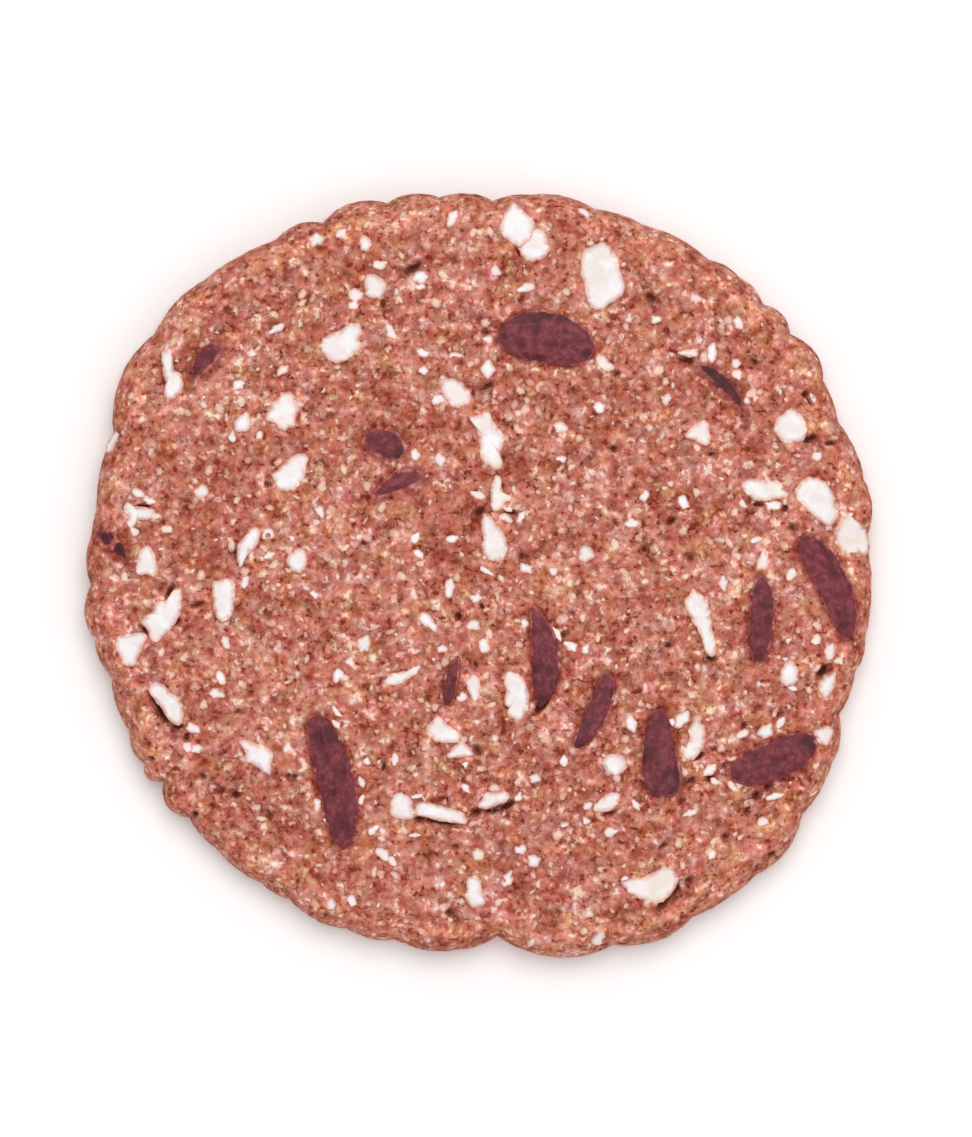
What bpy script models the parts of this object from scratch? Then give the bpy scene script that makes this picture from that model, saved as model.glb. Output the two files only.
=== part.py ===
"""An oat cookie with chopped nuts and raisins, lying flat. Metres, +Z up.

The dough is one thin disc with a lobed, rounded rim and a flat base. The nut pieces are fused
into it. Each raisin is a piece of its own, seated in a pocket that is cut for it in the dough.
"""

import math
import random

import bmesh
import bpy
from mathutils import Matrix, Vector, noise

MM = 0.001

# Driving dimensions, in millimetres and degrees
THICKNESS = 8.0  # of the dough at its middle
MIDDLE_RISE = 0.5  # how much higher the middle is than the shoulder of the rim
MEAN_RADIUS = 43.6
SHOULDER = 5.0  # how far in from the rim its rounding starts
WAIST = 2.7  # height at which the cookie is widest
FOOT = 1.4  # how far the base stays in from the widest line
ROUNDNESS = 2.3  # exponent of the rim's rounding: 2 is an ellipse, more is fuller
LOBE_FULLNESS = 0.8  # under 1 makes a lobe blunter and its notches sharper

# The rim's lobes, one row each: the angle of the notch it starts at, how far that notch lies
# outside the mean circle, and how far the lobe swells past the line to the next notch.
LOBES = (
    (5.5, -0.15, 0.75), (14, 0.60, 0.40), (23, 0.00, 0.25), (29.5, 0.50, 1.05),
    (37.7, 0.30, 0.85), (43.5, 0.20, 0.40), (49, 0.55, 0.35), (54, -0.10, 0.40),
    (65, -0.40, 0.20), (72.5, -0.70, 0.50), (82, -0.70, 0.25), (87.8, -1.75, 0.55),
    (96, -1.15, 0.70), (103.7, -0.90, 1.05), (113.8, -0.60, 0.70), (121, 0.10, 0.20),
    (133, 1.40, 0.40), (143.5, 1.55, 1.20), (158.5, 0.10, 0.35), (170, -0.35, 0.05),
    (174, -0.20, 0.50), (181.5, -0.35, 0.85),
    (189.5, -0.20, 0.35), (195.5, -1.10, 0.25), (204.5, -0.80, 0.50), (209.5, -0.80, 1.05),
    (213.2, -1.65, 1.25), (220, -1.55, 0.35), (226, -1.45, 0.35), (235, -1.75, 0.30),
    (239.7, -1.90, 0.65), (249.5, -1.60, 0.45), (257, -1.95, 1.10), (273, -3.30, 1.45),
    (290, 0.20, 1.00), (302, 1.40, 0.25), (313, 1.95, 0.85), (323.5, 1.30, 0.30),
    (332, 1.00, 0.45), (339, -0.50, 0.30), (345.5, -0.25, 0.35), (351, 0.10, 0.30),
)

# Relief: low swells of the top, as a count of waves, their shortest and longest length and their
# height; and the crags of the crumb, as their size and height
SWELLS = (6, 14.0, 36.0, 0.30)
SWELL_SEED = 7
CRAG_SIZE = 2.4
CRAG_HEIGHT = 0.55
CRAG_ROUNDING = 0.5  # share of that height left on the rim's rounding

# Mesh density
TOP_GRID = 36  # cells across the top
ROUNDING_ANGLES = (66, 44, 22, 0)  # rings from the shoulder down to the widest line
FOOT_ANGLES = (30, 60, 90)  # rings from the widest line down to the base

# Raisins: middle x and y, length, width, turn, bend of the middle line, taper towards the far end,
# and how pointed the ends are
RAISINS = (
    (7.5, 26.1, 10.9, 5.8, -10, 0.3, 0.00, 0.50),
    (-16.2, -22.7, 15.1, 4.2, 103, -0.35, 0.00, 0.42),
    (32.7, -20.4, 10.3, 4.4, 22, -0.2, 0.05, 0.42),
    (20.2, -19.7, 9.8, 3.9, 94, 0.15, -0.25, 0.42),
    (38.9, -1.2, 12.9, 3.8, 115, -0.5, 0.10, 0.50),
    (-10.5, 14.5, 5.1, 3.4, -20, 0.2, 0.00, 0.45),
    (-9.0, 10.1, 6.4, 2.5, 24, 0.2, 0.25, 0.60),
    (6.9, -8.8, 11.6, 3.1, 95, -0.5, -0.10, 0.70),
    (31.3, -4.8, 9.6, 2.9, 87, -0.1, 0.00, 0.45),
    (12.9, -15.0, 9.4, 2.6, 66, -0.3, 0.10, 0.60),
    (27.2, 20.8, 8.2, 1.8, -47, 0.4, -0.25, 0.85),
    (-30.3, 23.9, 4.8, 2.3, 53, 0.1, 0.15, 0.45),
    (-3.0, -11.8, 5.7, 1.7, 76, 0.1, -0.30, 0.50),
    (-40.6, 3.4, 4.9, 2.0, -42, 0.2, -0.15, 0.70),
)
RAISIN_CROWN = 0.4  # how far a raisin stands above the dough
RAISIN_BELLY = 0.62  # its depth in the dough, as a share of its width
RAISIN_GAP = 0.3  # room between a raisin and its pocket
LARGE_RAISIN = 6.5  # from this length on, a raisin gets the finer mesh
FINE_SPHERE, COARSE_SPHERE = (12, 10), (8, 7)
POCKET_RISE = 2.5  # how far a pocket's cutter stands above the dough

# Nut pieces: middle x and y, length, width, turn
NUTS = (
    (13.7, 33.3, 7.6, 4.2, 95), (4.2, 39.1, 4.6, 3.4, 115), (6.3, 36.6, 3.6, 3.4, 120),
    (37.4, 8.4, 5.8, 3.2, 125), (41.5, 4.5, 5.4, 3.5, 115), (1.3, 15.0, 6.5, 2.6, 105),
    (19.4, -34.4, 6.1, 3.9, 15), (-34.9, -4.3, 6.6, 2.9, 55), (24.8, -5.0, 8.2, 2.3, 105),
    (-15.3, 25.8, 5.2, 3.4, 30), (1.5, 4.2, 5.2, 2.7, 102), (-20.8, 11.5, 4.9, 2.8, 50),
    (-34.6, -14.2, 5.4, 2.5, 122), (4.3, -13.4, 5.2, 2.5, 100), (-21.7, 18.2, 4.2, 3.1, 75),
    (34.7, 16.6, 3.9, 3.1, 95), (-4.1, -26.4, 5.8, 1.7, -12), (-38.5, -8.0, 4.2, 2.9, 50),
    (-28.4, -2.6, 4.5, 2.2, 85), (31.6, 9.6, 5.4, 2.1, -8), (-34.2, 22.3, 5.5, 2.0, 100),
    (-3.9, -17.2, 4.2, 2.3, -28), (-24.4, -20.0, 4.6, 2.4, -50), (-2.6, 20.4, 3.6, 2.5, -55),
    (23.9, -18.3, 4.1, 2.0, 70), (-36.8, 1.6, 3.2, 2.2, 100), (-11.6, 32.0, 2.9, 2.1, 100),
    (1.8, -24.8, 3.9, 1.9, 25), (-8.7, -25.6, 2.8, 2.3, 85), (-25.5, 3.3, 4.7, 1.6, 65),
    (-37.7, 7.1, 3.3, 1.7, 0), (34.5, -11.0, 2.8, 2.1, 100), (14.3, -25.1, 3.3, 1.8, 30),
    (38.7, -12.2, 3.0, 1.9, 60), (15.0, -20.9, 2.6, 2.0, -15), (24.6, 15.9, 2.6, 2.0, 125),
    (-20.1, 1.7, 2.5, 2.1, 80), (-0.5, -35.0, 3.3, 1.7, 97), (2.3, 9.3, 3.6, 1.3, 95),
    (-8.6, -11.1, 3.6, 1.1, 15), (-2.0, -19.5, 2.7, 1.5, 2), (-0.6, -12.4, 2.6, 1.2, 95),
    (-26.2, 17.0, 2.4, 1.5, 60), (-40.7, 14.8, 3.0, 1.5, 60), (38.3, -17.8, 2.0, 1.6, 100),
)
NUT_CORNERS = 7
NUT_SEED = 4300  # seed that the first nut's chopped outline is drawn from; each nut after it takes the next
NUT_PROUD = 0.35  # how far a nut's flat face stands above the dough
NUT_DEPTH = 0.5  # its depth in the dough, as a share of its width
NUT_FACE, NUT_FOOT = 0.84, 0.55  # its face and its foot, as shares of its widest outline

# Chips, the smallest nut pieces that still show singly: middle x and y, length, width, turn
CHIPS = (
    (-5.5, -5.1, 2.8, 1.3, 135), (22.7, -15.9, 2.4, 1.1, 55), (-2.9, 39.7, 2.4, 1.1, 70),
    (17.0, -16.5, 2.3, 1.2, 100), (31.4, 1.6, 2.4, 1.3, 85), (1.0, 22.8, 2.2, 1.2, 95),
    (31.9, -17.2, 2.4, 1.2, 50), (14.1, 23.6, 2.2, 1.4, 145), (23.3, 24.7, 2.4, 1.1, 0),
    (25.9, 24.8, 2.3, 1.0, 85), (-6.5, 33.1, 2.0, 1.1, 10), (39.0, -8.5, 2.0, 1.0, 85),
    (11.9, 2.4, 1.6, 1.5, 60), (-3.2, -1.3, 2.3, 1.0, 85), (-12.7, -7.7, 1.8, 1.2, 80),
    (-22.4, 27.4, 2.2, 0.8, 30), (25.6, -21.6, 1.6, 1.0, 45), (-10.9, 34.5, 1.8, 0.8, 5),
    (5.3, 31.9, 2.2, 0.9, 20), (-9.7, 27.1, 1.9, 0.9, 120), (-28.0, -7.5, 1.6, 1.0, 115),
    (11.8, 40.2, 1.6, 1.0, 150), (13.4, 18.6, 1.7, 0.9, 165), (28.9, 28.0, 1.8, 0.9, 115),
)
SCATTERED_CHIPS = 24  # more chips, placed by a rule
CHIP_LENGTH = (1.2, 1.7)
CHIP_SHAPE = (0.6, 0.9)  # width of a scattered chip, as a share of its length
CHIP_CORNERS = 5
CHIP_SEED = 4400
CHIP_ROOM = 1.0  # kept clear round raisins, nuts and other chips
CHIP_INSET = 1.5  # how far in from the rim a scattered chip lies at least

STEEPEST = 1.2  # slope that a piece leans at most, out on the rim's rounding
BOARD = 0.35  # a piece rests on the dough this share of its length and width out from its middle

DOUGH_COLOUR = (0.50, 0.185, 0.125, 1.0)
RAISIN_COLOUR = (0.17, 0.042, 0.05, 1.0)


def rim_radius(angle):
    """Distance from the middle to the rim: a line from notch to notch, plus the lobe's swell."""
    degrees = (math.degrees(angle) - LOBES[0][0]) % 360 + LOBES[0][0]
    index = max(i for i, lobe in enumerate(LOBES) if lobe[0] <= degrees)
    start, notch, swell = LOBES[index]
    following = LOBES[(index + 1) % len(LOBES)]
    end = following[0] if following[0] > start else following[0] + 360
    share = (degrees - start) / (end - start)
    line = notch + (following[1] - notch) * share
    return MEAN_RADIUS + line + swell * math.sin(math.pi * share) ** LOBE_FULLNESS


def swell_waves():
    """Plane waves of seeded direction, length and phase: turns per millimetre along X and Y, and the phase."""
    count, shortest, longest, _ = SWELLS
    rng = random.Random(SWELL_SEED)
    waves = []
    for _ in range(count):
        direction = rng.uniform(0, 2 * math.pi)
        turns = 2 * math.pi / rng.uniform(shortest, longest)
        waves.append((turns * math.cos(direction), turns * math.sin(direction), rng.uniform(0, 2 * math.pi)))
    return waves


WAVES = swell_waves()


def plateau(x, y, rim):
    """Height of the top inside the rim's rounding: a low rise with swells."""
    swell = sum(math.sin(across * x + along * y + phase) for across, along, phase in WAVES)
    rise = MIDDLE_RISE * (x * x + y * y) / (rim * rim)
    return THICKNESS - rise + SWELLS[3] / math.sqrt(len(WAVES)) * swell


def rounding(inset):
    """Share of the height that the rim's rounding has reached at a distance in from the rim."""
    left = max(0.0, 1 - max(0.0, inset) / SHOULDER)
    return (1 - left**ROUNDNESS) ** (1 / ROUNDNESS)


def smooth_top(x, y):
    """Height of the dough's upper surface at x, y, without its crags."""
    rim = rim_radius(math.atan2(y, x))
    return WAIST + (plateau(x, y, rim) - WAIST) * rounding(rim - math.hypot(x, y))


def crag(point):
    """How far the crumb stands out of the smooth surface or in from it, at a point in millimetres."""
    return CRAG_HEIGHT * noise.noise(point / CRAG_SIZE)


def seat(x, y, length, width, turn):
    """Placement of a piece that has its length along X and the dough's surface at z 0 in its own frame.

    It lies like a board on the dough: its slopes are read from the heights under its ends and its sides."""
    heading = math.radians(turn)
    axes, heights = [], []
    for direction, reach in ((heading, BOARD * length), (heading + math.pi / 2, BOARD * max(width, 2.0))):
        step_x, step_y = reach * math.cos(direction), reach * math.sin(direction)
        ahead, behind = smooth_top(x + step_x, y + step_y), smooth_top(x - step_x, y - step_y)
        slope = max(-STEEPEST, min(STEEPEST, (ahead - behind) / (2 * reach)))
        axes.append(Vector((math.cos(direction), math.sin(direction), slope)))
        heights += [ahead, behind]
    along = axes[0].normalized()
    up = along.cross(axes[1]).normalized()
    rotation = Matrix((along, up.cross(along), up)).transposed().to_4x4()
    return Matrix.Translation(Vector((x, y, sum(heights) / len(heights))) * MM) @ rotation


def object_from(bm, name, collection):
    """An object with the mesh that bm holds."""
    mesh = bpy.data.meshes.new(name)
    bm.to_mesh(mesh)
    bm.free()
    made = bpy.data.objects.new(name, mesh)
    collection.objects.link(made)
    return made


def new_collection(name):
    collection = bpy.data.collections.new(name)
    bpy.context.scene.collection.children.link(collection)
    return collection


def disc_place(across, along):
    """Concentric map of the square from -1 to 1 to the unit disc: radius and angle."""
    if across == 0 and along == 0:
        return 0.0, 0.0
    if abs(across) > abs(along):
        radius, angle = across, math.pi / 4 * along / across
    else:
        radius, angle = along, math.pi / 2 - math.pi / 4 * across / along
    return abs(radius), angle if radius > 0 else angle + math.pi


def ring_place(angle, section_angle, below):
    """A point of the rim's section: section_angle runs from 90 at the shoulder or the base to 0 at the waist."""
    rim = rim_radius(angle)
    turn = math.radians(section_angle)
    if below:
        radius, height = rim - FOOT * (1 - math.cos(turn)), WAIST * (1 - math.sin(turn))
        return Vector((radius * math.cos(angle), radius * math.sin(angle), height))
    inset = SHOULDER * (1 - math.cos(turn) ** (2 / ROUNDNESS))
    x, y = (rim - inset) * math.cos(angle), (rim - inset) * math.sin(angle)
    point = Vector((x, y, WAIST + (plateau(x, y, rim) - WAIST) * math.sin(turn) ** (2 / ROUNDNESS)))
    outward = Vector((math.cos(angle) * math.cos(turn), math.sin(angle) * math.cos(turn), math.sin(turn)))
    return point + outward * crag(point) * CRAG_ROUNDING


def make_dough():
    """The disc: a grid laid over the top, then rings extruded down the rim to a flat base."""
    bm = bmesh.new()
    bmesh.ops.create_grid(bm, x_segments=TOP_GRID, y_segments=TOP_GRID, size=1)
    angles = {}
    for vert in bm.verts:
        share, angle = disc_place(round(vert.co.x, 6), round(vert.co.y, 6))
        angles[vert] = angle
        radius = share * (rim_radius(angle) - SHOULDER)
        x, y = radius * math.cos(angle), radius * math.sin(angle)
        point = Vector((x, y, smooth_top(x, y)))
        vert.co = point + Vector((0, 0, crag(point)))
    sections = [(angle, False) for angle in ROUNDING_ANGLES] + [(angle, True) for angle in FOOT_ANGLES]
    edge = [e for e in bm.edges if e.is_boundary]
    for section_angle, below in sections:
        around = {vert: angles[vert] for e in edge for vert in e.verts}
        geometry = bmesh.ops.extrude_edge_only(bm, edges=edge)["geom"]
        edge = [g for g in geometry if isinstance(g, bmesh.types.BMEdge)]
        fresh = {vert for e in edge for vert in e.verts}
        for vert in fresh:
            parent = next(e.other_vert(vert) for e in vert.link_edges if e.other_vert(vert) in around)
            angles[vert] = around[parent]
            vert.co = ring_place(angles[vert], section_angle, below)
    bmesh.ops.contextual_create(bm, geom=edge)
    bmesh.ops.recalc_face_normals(bm, faces=bm.faces)
    bmesh.ops.scale(bm, vec=(MM, MM, MM), verts=bm.verts)
    return object_from(bm, "cookie", bpy.context.scene.collection)


def chopped_nut(name, row, corners, collection):
    """A nut piece: the hull of a flat face, a wider outline at the dough's surface and a smaller foot."""
    x, y, length, width, turn, seed = row
    rng = random.Random(seed)
    outline = []
    for corner in range(corners):
        angle = 2 * math.pi * (corner + rng.uniform(-0.35, 0.35)) / corners
        reach = rng.uniform(0.84, 1.12)
        outline.append((length / 2 * reach * math.cos(angle), width / 2 * reach * math.sin(angle)))
    levels = ((NUT_FACE, NUT_PROUD), (1.0, -0.3), (NUT_FOOT, -0.3 - NUT_DEPTH * width))
    bm = bmesh.new()
    for share, height in levels:
        for across, along in outline:
            bm.verts.new(Vector((across * share, along * share, height)) * MM)
    hull = bmesh.ops.convex_hull(bm, input=bm.verts)
    inner = {g for g in hull["geom_interior"] + hull["geom_unused"] if isinstance(g, bmesh.types.BMVert)}
    bmesh.ops.delete(bm, geom=list(inner), context="VERTS")
    bmesh.ops.transform(bm, matrix=seat(x, y, length, width, turn), verts=bm.verts)
    return object_from(bm, name, collection)


def all_chips():
    """The chips of the table and the scattered ones, which stay clear of the raisins, the nuts and each other."""
    rng = random.Random(CHIP_SEED)
    chips = [row + (CHIP_SEED + number,) for number, row in enumerate(CHIPS)]
    taken = [(x, y, max(length, width) / 2) for x, y, length, width, *_ in RAISINS + NUTS + CHIPS]
    while len(chips) < len(CHIPS) + SCATTERED_CHIPS:
        angle = rng.uniform(0, 2 * math.pi)
        radius = math.sqrt(rng.random()) * (rim_radius(angle) - CHIP_INSET)
        x, y, length = radius * math.cos(angle), radius * math.sin(angle), rng.uniform(*CHIP_LENGTH)
        width, turn = length * rng.uniform(*CHIP_SHAPE), rng.uniform(0, 180)
        if all(math.hypot(x - tx, y - ty) > reach + length / 2 + CHIP_ROOM for tx, ty, reach in taken):
            taken.append((x, y, length / 2))
            chips.append((x, y, length, width, turn, CHIP_SEED + len(chips)))
    return chips


def make_raisin(name, row, collection, grow=0.0, crown=RAISIN_CROWN):
    """A raisin, or its pocket's cutter when grown: a sphere drawn out, tapered, bent and pressed flat on top."""
    x, y, length, width, turn, bend, taper, point = row
    segments, rings = FINE_SPHERE if length >= LARGE_RAISIN else COARSE_SPHERE
    bm = bmesh.new()
    bmesh.ops.create_uvsphere(bm, u_segments=segments, v_segments=rings, radius=1)
    for vert in bm.verts:
        share = max(-1.0, min(1.0, vert.co.z))
        ring = math.sqrt(max(0.0, 1 - share * share))
        fullness = (1 - abs(share) ** 2.4) ** point / ring if ring > 1e-3 else 0.0
        side, up = vert.co.x * fullness, vert.co.y * fullness
        half_width = (width / 2 + grow) * (1 + taper * share)
        depth = crown * max(0.0, up) ** 0.5 if up > 0 else (RAISIN_BELLY * width + grow) * up
        middle = bend * (1 - 2 * share * share)
        vert.co = Vector((share * (length / 2 + grow), middle + side * half_width, depth)) * MM
    bmesh.ops.transform(bm, matrix=seat(x, y, length, width, turn), verts=bm.verts)
    return object_from(bm, name, collection)


def bake_boolean(target, operation, tools):
    """Joins or cuts target with a collection's objects, which are then removed."""
    modifier = target.modifiers.new(operation.title(), "BOOLEAN")
    modifier.operation = operation
    modifier.operand_type = "COLLECTION"
    modifier.collection = tools
    modifier.solver = "EXACT"
    evaluated = target.evaluated_get(bpy.context.evaluated_depsgraph_get())
    target.data = bpy.data.meshes.new_from_object(evaluated)
    target.modifiers.clear()
    for tool in list(tools.objects):
        bpy.data.objects.remove(tool)
    bpy.data.collections.remove(tools)


def keep_largest_body(target):
    """Drops the scraps that cutting has left loose."""
    bm = bmesh.new()
    bm.from_mesh(target.data)
    unseen, bodies = set(bm.verts), []
    while unseen:
        body, frontier = set(), [unseen.pop()]
        while frontier:
            vert = frontier.pop()
            body.add(vert)
            fresh = {e.other_vert(vert) for e in vert.link_edges} & unseen
            unseen -= fresh
            frontier.extend(fresh)
        bodies.append(body)
    largest = max(bodies, key=len)
    bmesh.ops.delete(bm, geom=[v for v in bm.verts if v not in largest], context="VERTS")
    bm.to_mesh(target.data)
    bm.free()


def set_material(made, name, colour, roughness):
    """One plain Principled BSDF for an object."""
    material = bpy.data.materials.get(name) or bpy.data.materials.new(name)
    material.use_nodes = True
    shader = material.node_tree.nodes["Principled BSDF"]
    shader.inputs["Base Color"].default_value = colour
    shader.inputs["Roughness"].default_value = roughness
    shader.inputs["Metallic"].default_value = 0.0
    made.data.materials.clear()
    made.data.materials.append(material)


def build():
    for old in list(bpy.data.objects):
        bpy.data.objects.remove(old)
    cookie = make_dough()

    nuts = new_collection("nut_pieces")
    for number, row in enumerate(NUTS):
        chopped_nut(f"nut_{number:02d}", row + (NUT_SEED + number,), NUT_CORNERS, nuts)
    for number, row in enumerate(all_chips()):
        chopped_nut(f"chip_{number:02d}", row, CHIP_CORNERS, nuts)
    bake_boolean(cookie, "UNION", nuts)

    pockets = new_collection("pockets")
    for number, row in enumerate(RAISINS, start=1):
        make_raisin(f"pocket_{number:02d}", row, pockets, grow=RAISIN_GAP, crown=POCKET_RISE)
    bake_boolean(cookie, "DIFFERENCE", pockets)
    keep_largest_body(cookie)
    set_material(cookie, "dough", DOUGH_COLOUR, 0.9)

    for number, row in enumerate(RAISINS, start=1):
        raisin = make_raisin(f"raisin_{number:02d}", row, bpy.context.scene.collection)
        raisin.data.shade_smooth()
        set_material(raisin, "raisin", RAISIN_COLOUR, 0.45)


build()
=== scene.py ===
import math
import random

import bpy
import numpy as np
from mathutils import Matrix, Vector


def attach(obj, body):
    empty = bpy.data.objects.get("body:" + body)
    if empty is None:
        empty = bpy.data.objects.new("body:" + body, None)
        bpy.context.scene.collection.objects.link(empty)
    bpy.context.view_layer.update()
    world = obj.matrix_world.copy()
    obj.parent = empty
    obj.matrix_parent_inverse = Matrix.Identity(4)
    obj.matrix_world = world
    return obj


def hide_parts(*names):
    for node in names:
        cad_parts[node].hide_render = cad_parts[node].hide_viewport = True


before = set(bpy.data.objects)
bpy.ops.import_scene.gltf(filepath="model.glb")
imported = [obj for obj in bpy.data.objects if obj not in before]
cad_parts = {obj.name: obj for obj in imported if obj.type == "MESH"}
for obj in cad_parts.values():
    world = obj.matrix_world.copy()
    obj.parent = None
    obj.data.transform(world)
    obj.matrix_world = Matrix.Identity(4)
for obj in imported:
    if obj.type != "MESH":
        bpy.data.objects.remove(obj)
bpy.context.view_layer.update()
mm = 0.001  # all lengths below are in millimetres, and meshes are written in metres
print("frame loaded:", len(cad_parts), "nodes")


# The cookie's form, as its solids have it

form = {
    "thickness": 8.0,
    "middleRise": 0.5,  # how much higher the middle is than the shoulder of the rim
    "meanRadius": 43.6,
    "shoulder": 5.0,  # how far in from the rim its rounding starts
    "waist": 2.7,  # height at which the cookie is widest
    "foot": 1.4,  # how far the base stays in from the widest line
    "roundness": 2.3,
    "lobeFullness": 0.8,
    "swellCount": 6,
    "swellLength": (14.0, 36.0),
    "swellHeight": 0.30,
    "swellSeed": 7,
}

# The rim's lobes: angle of the notch each starts at, how far out that notch lies, and the lobe's swell
lobes = np.array((
    (5.5, -0.15, 0.75), (14, 0.60, 0.40), (23, 0.00, 0.25), (29.5, 0.50, 1.05),
    (37.7, 0.30, 0.85), (43.5, 0.20, 0.40), (49, 0.55, 0.35), (54, -0.10, 0.40),
    (65, -0.40, 0.20), (72.5, -0.70, 0.50), (82, -0.70, 0.25), (87.8, -1.75, 0.55),
    (96, -1.15, 0.70), (103.7, -0.90, 1.05), (113.8, -0.60, 0.70), (121, 0.10, 0.20),
    (133, 1.40, 0.40), (143.5, 1.55, 1.20), (158.5, 0.10, 0.35), (170, -0.35, 0.05),
    (174, -0.20, 0.50), (181.5, -0.35, 0.85),
    (189.5, -0.20, 0.35), (195.5, -1.10, 0.25), (204.5, -0.80, 0.50), (209.5, -0.80, 1.05),
    (213.2, -1.65, 1.25), (220, -1.55, 0.35), (226, -1.45, 0.35), (235, -1.75, 0.30),
    (239.7, -1.90, 0.65), (249.5, -1.60, 0.45), (257, -1.95, 1.10), (273, -3.30, 1.45),
    (290, 0.20, 1.00), (302, 1.40, 0.25), (313, 1.95, 0.85), (323.5, 1.30, 0.30),
    (332, 1.00, 0.45), (339, -0.50, 0.30), (345.5, -0.25, 0.35), (351, 0.10, 0.30),
))

# Raisins: middle x and y, length, width, turn, bend of the middle line, taper towards the far end,
# and how pointed the ends are
raisinRows = (
    (7.5, 26.1, 10.9, 5.8, -10, 0.3, 0.00, 0.50),
    (-16.2, -22.7, 15.1, 4.2, 103, -0.35, 0.00, 0.42),
    (32.7, -20.4, 10.3, 4.4, 22, -0.2, 0.05, 0.42),
    (20.2, -19.7, 9.8, 3.9, 94, 0.15, -0.25, 0.42),
    (38.9, -1.2, 12.9, 3.8, 115, -0.5, 0.10, 0.50),
    (-10.5, 14.5, 5.1, 3.4, -20, 0.2, 0.00, 0.45),
    (-9.0, 10.1, 6.4, 2.5, 24, 0.2, 0.25, 0.60),
    (6.9, -8.8, 11.6, 3.1, 95, -0.5, -0.10, 0.70),
    (31.3, -4.8, 9.6, 2.9, 87, -0.1, 0.00, 0.45),
    (12.9, -15.0, 9.4, 2.6, 66, -0.3, 0.10, 0.60),
    (27.2, 20.8, 8.2, 1.8, -47, 0.4, -0.25, 0.85),
    (-30.3, 23.9, 4.8, 2.3, 53, 0.1, 0.15, 0.45),
    (-3.0, -11.8, 5.7, 1.7, 76, 0.1, -0.30, 0.50),
    (-40.6, 3.4, 4.9, 2.0, -42, 0.2, -0.15, 0.70),
)

# Nut pieces: middle x and y, length, width, turn
nutRows = (
    (13.7, 33.3, 7.6, 4.2, 95), (4.2, 39.1, 4.6, 3.4, 115), (6.3, 36.6, 3.6, 3.4, 120),
    (37.4, 8.4, 5.8, 3.2, 125), (41.5, 4.5, 5.4, 3.5, 115), (1.3, 15.0, 6.5, 2.6, 105),
    (19.4, -34.4, 6.1, 3.9, 15), (-34.9, -4.3, 6.6, 2.9, 55), (24.8, -5.0, 8.2, 2.3, 105),
    (-15.3, 25.8, 5.2, 3.4, 30), (1.5, 4.2, 5.2, 2.7, 102), (-20.8, 11.5, 4.9, 2.8, 50),
    (-34.6, -14.2, 5.4, 2.5, 122), (4.3, -13.4, 5.2, 2.5, 100), (-21.7, 18.2, 4.2, 3.1, 75),
    (34.7, 16.6, 3.9, 3.1, 95), (-4.1, -26.4, 5.8, 1.7, -12), (-38.5, -8.0, 4.2, 2.9, 50),
    (-28.4, -2.6, 4.5, 2.2, 85), (31.6, 9.6, 5.4, 2.1, -8), (-34.2, 22.3, 5.5, 2.0, 100),
    (-3.9, -17.2, 4.2, 2.3, -28), (-24.4, -20.0, 4.6, 2.4, -50), (-2.6, 20.4, 3.6, 2.5, -55),
    (23.9, -18.3, 4.1, 2.0, 70), (-36.8, 1.6, 3.2, 2.2, 100), (-11.6, 32.0, 2.9, 2.1, 100),
    (1.8, -24.8, 3.9, 1.9, 25), (-8.7, -25.6, 2.8, 2.3, 85), (-25.5, 3.3, 4.7, 1.6, 65),
    (-37.7, 7.1, 3.3, 1.7, 0), (34.5, -11.0, 2.8, 2.1, 100), (14.3, -25.1, 3.3, 1.8, 30),
    (38.7, -12.2, 3.0, 1.9, 60), (15.0, -20.9, 2.6, 2.0, -15), (24.6, 15.9, 2.6, 2.0, 125),
    (-20.1, 1.7, 2.5, 2.1, 80), (-0.5, -35.0, 3.3, 1.7, 97), (2.3, 9.3, 3.6, 1.3, 95),
    (-8.6, -11.1, 3.6, 1.1, 15), (-2.0, -19.5, 2.7, 1.5, 2), (-0.6, -12.4, 2.6, 1.2, 95),
    (-26.2, 17.0, 2.4, 1.5, 60), (-40.7, 14.8, 3.0, 1.5, 60), (38.3, -17.8, 2.0, 1.6, 100),
)

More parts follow.
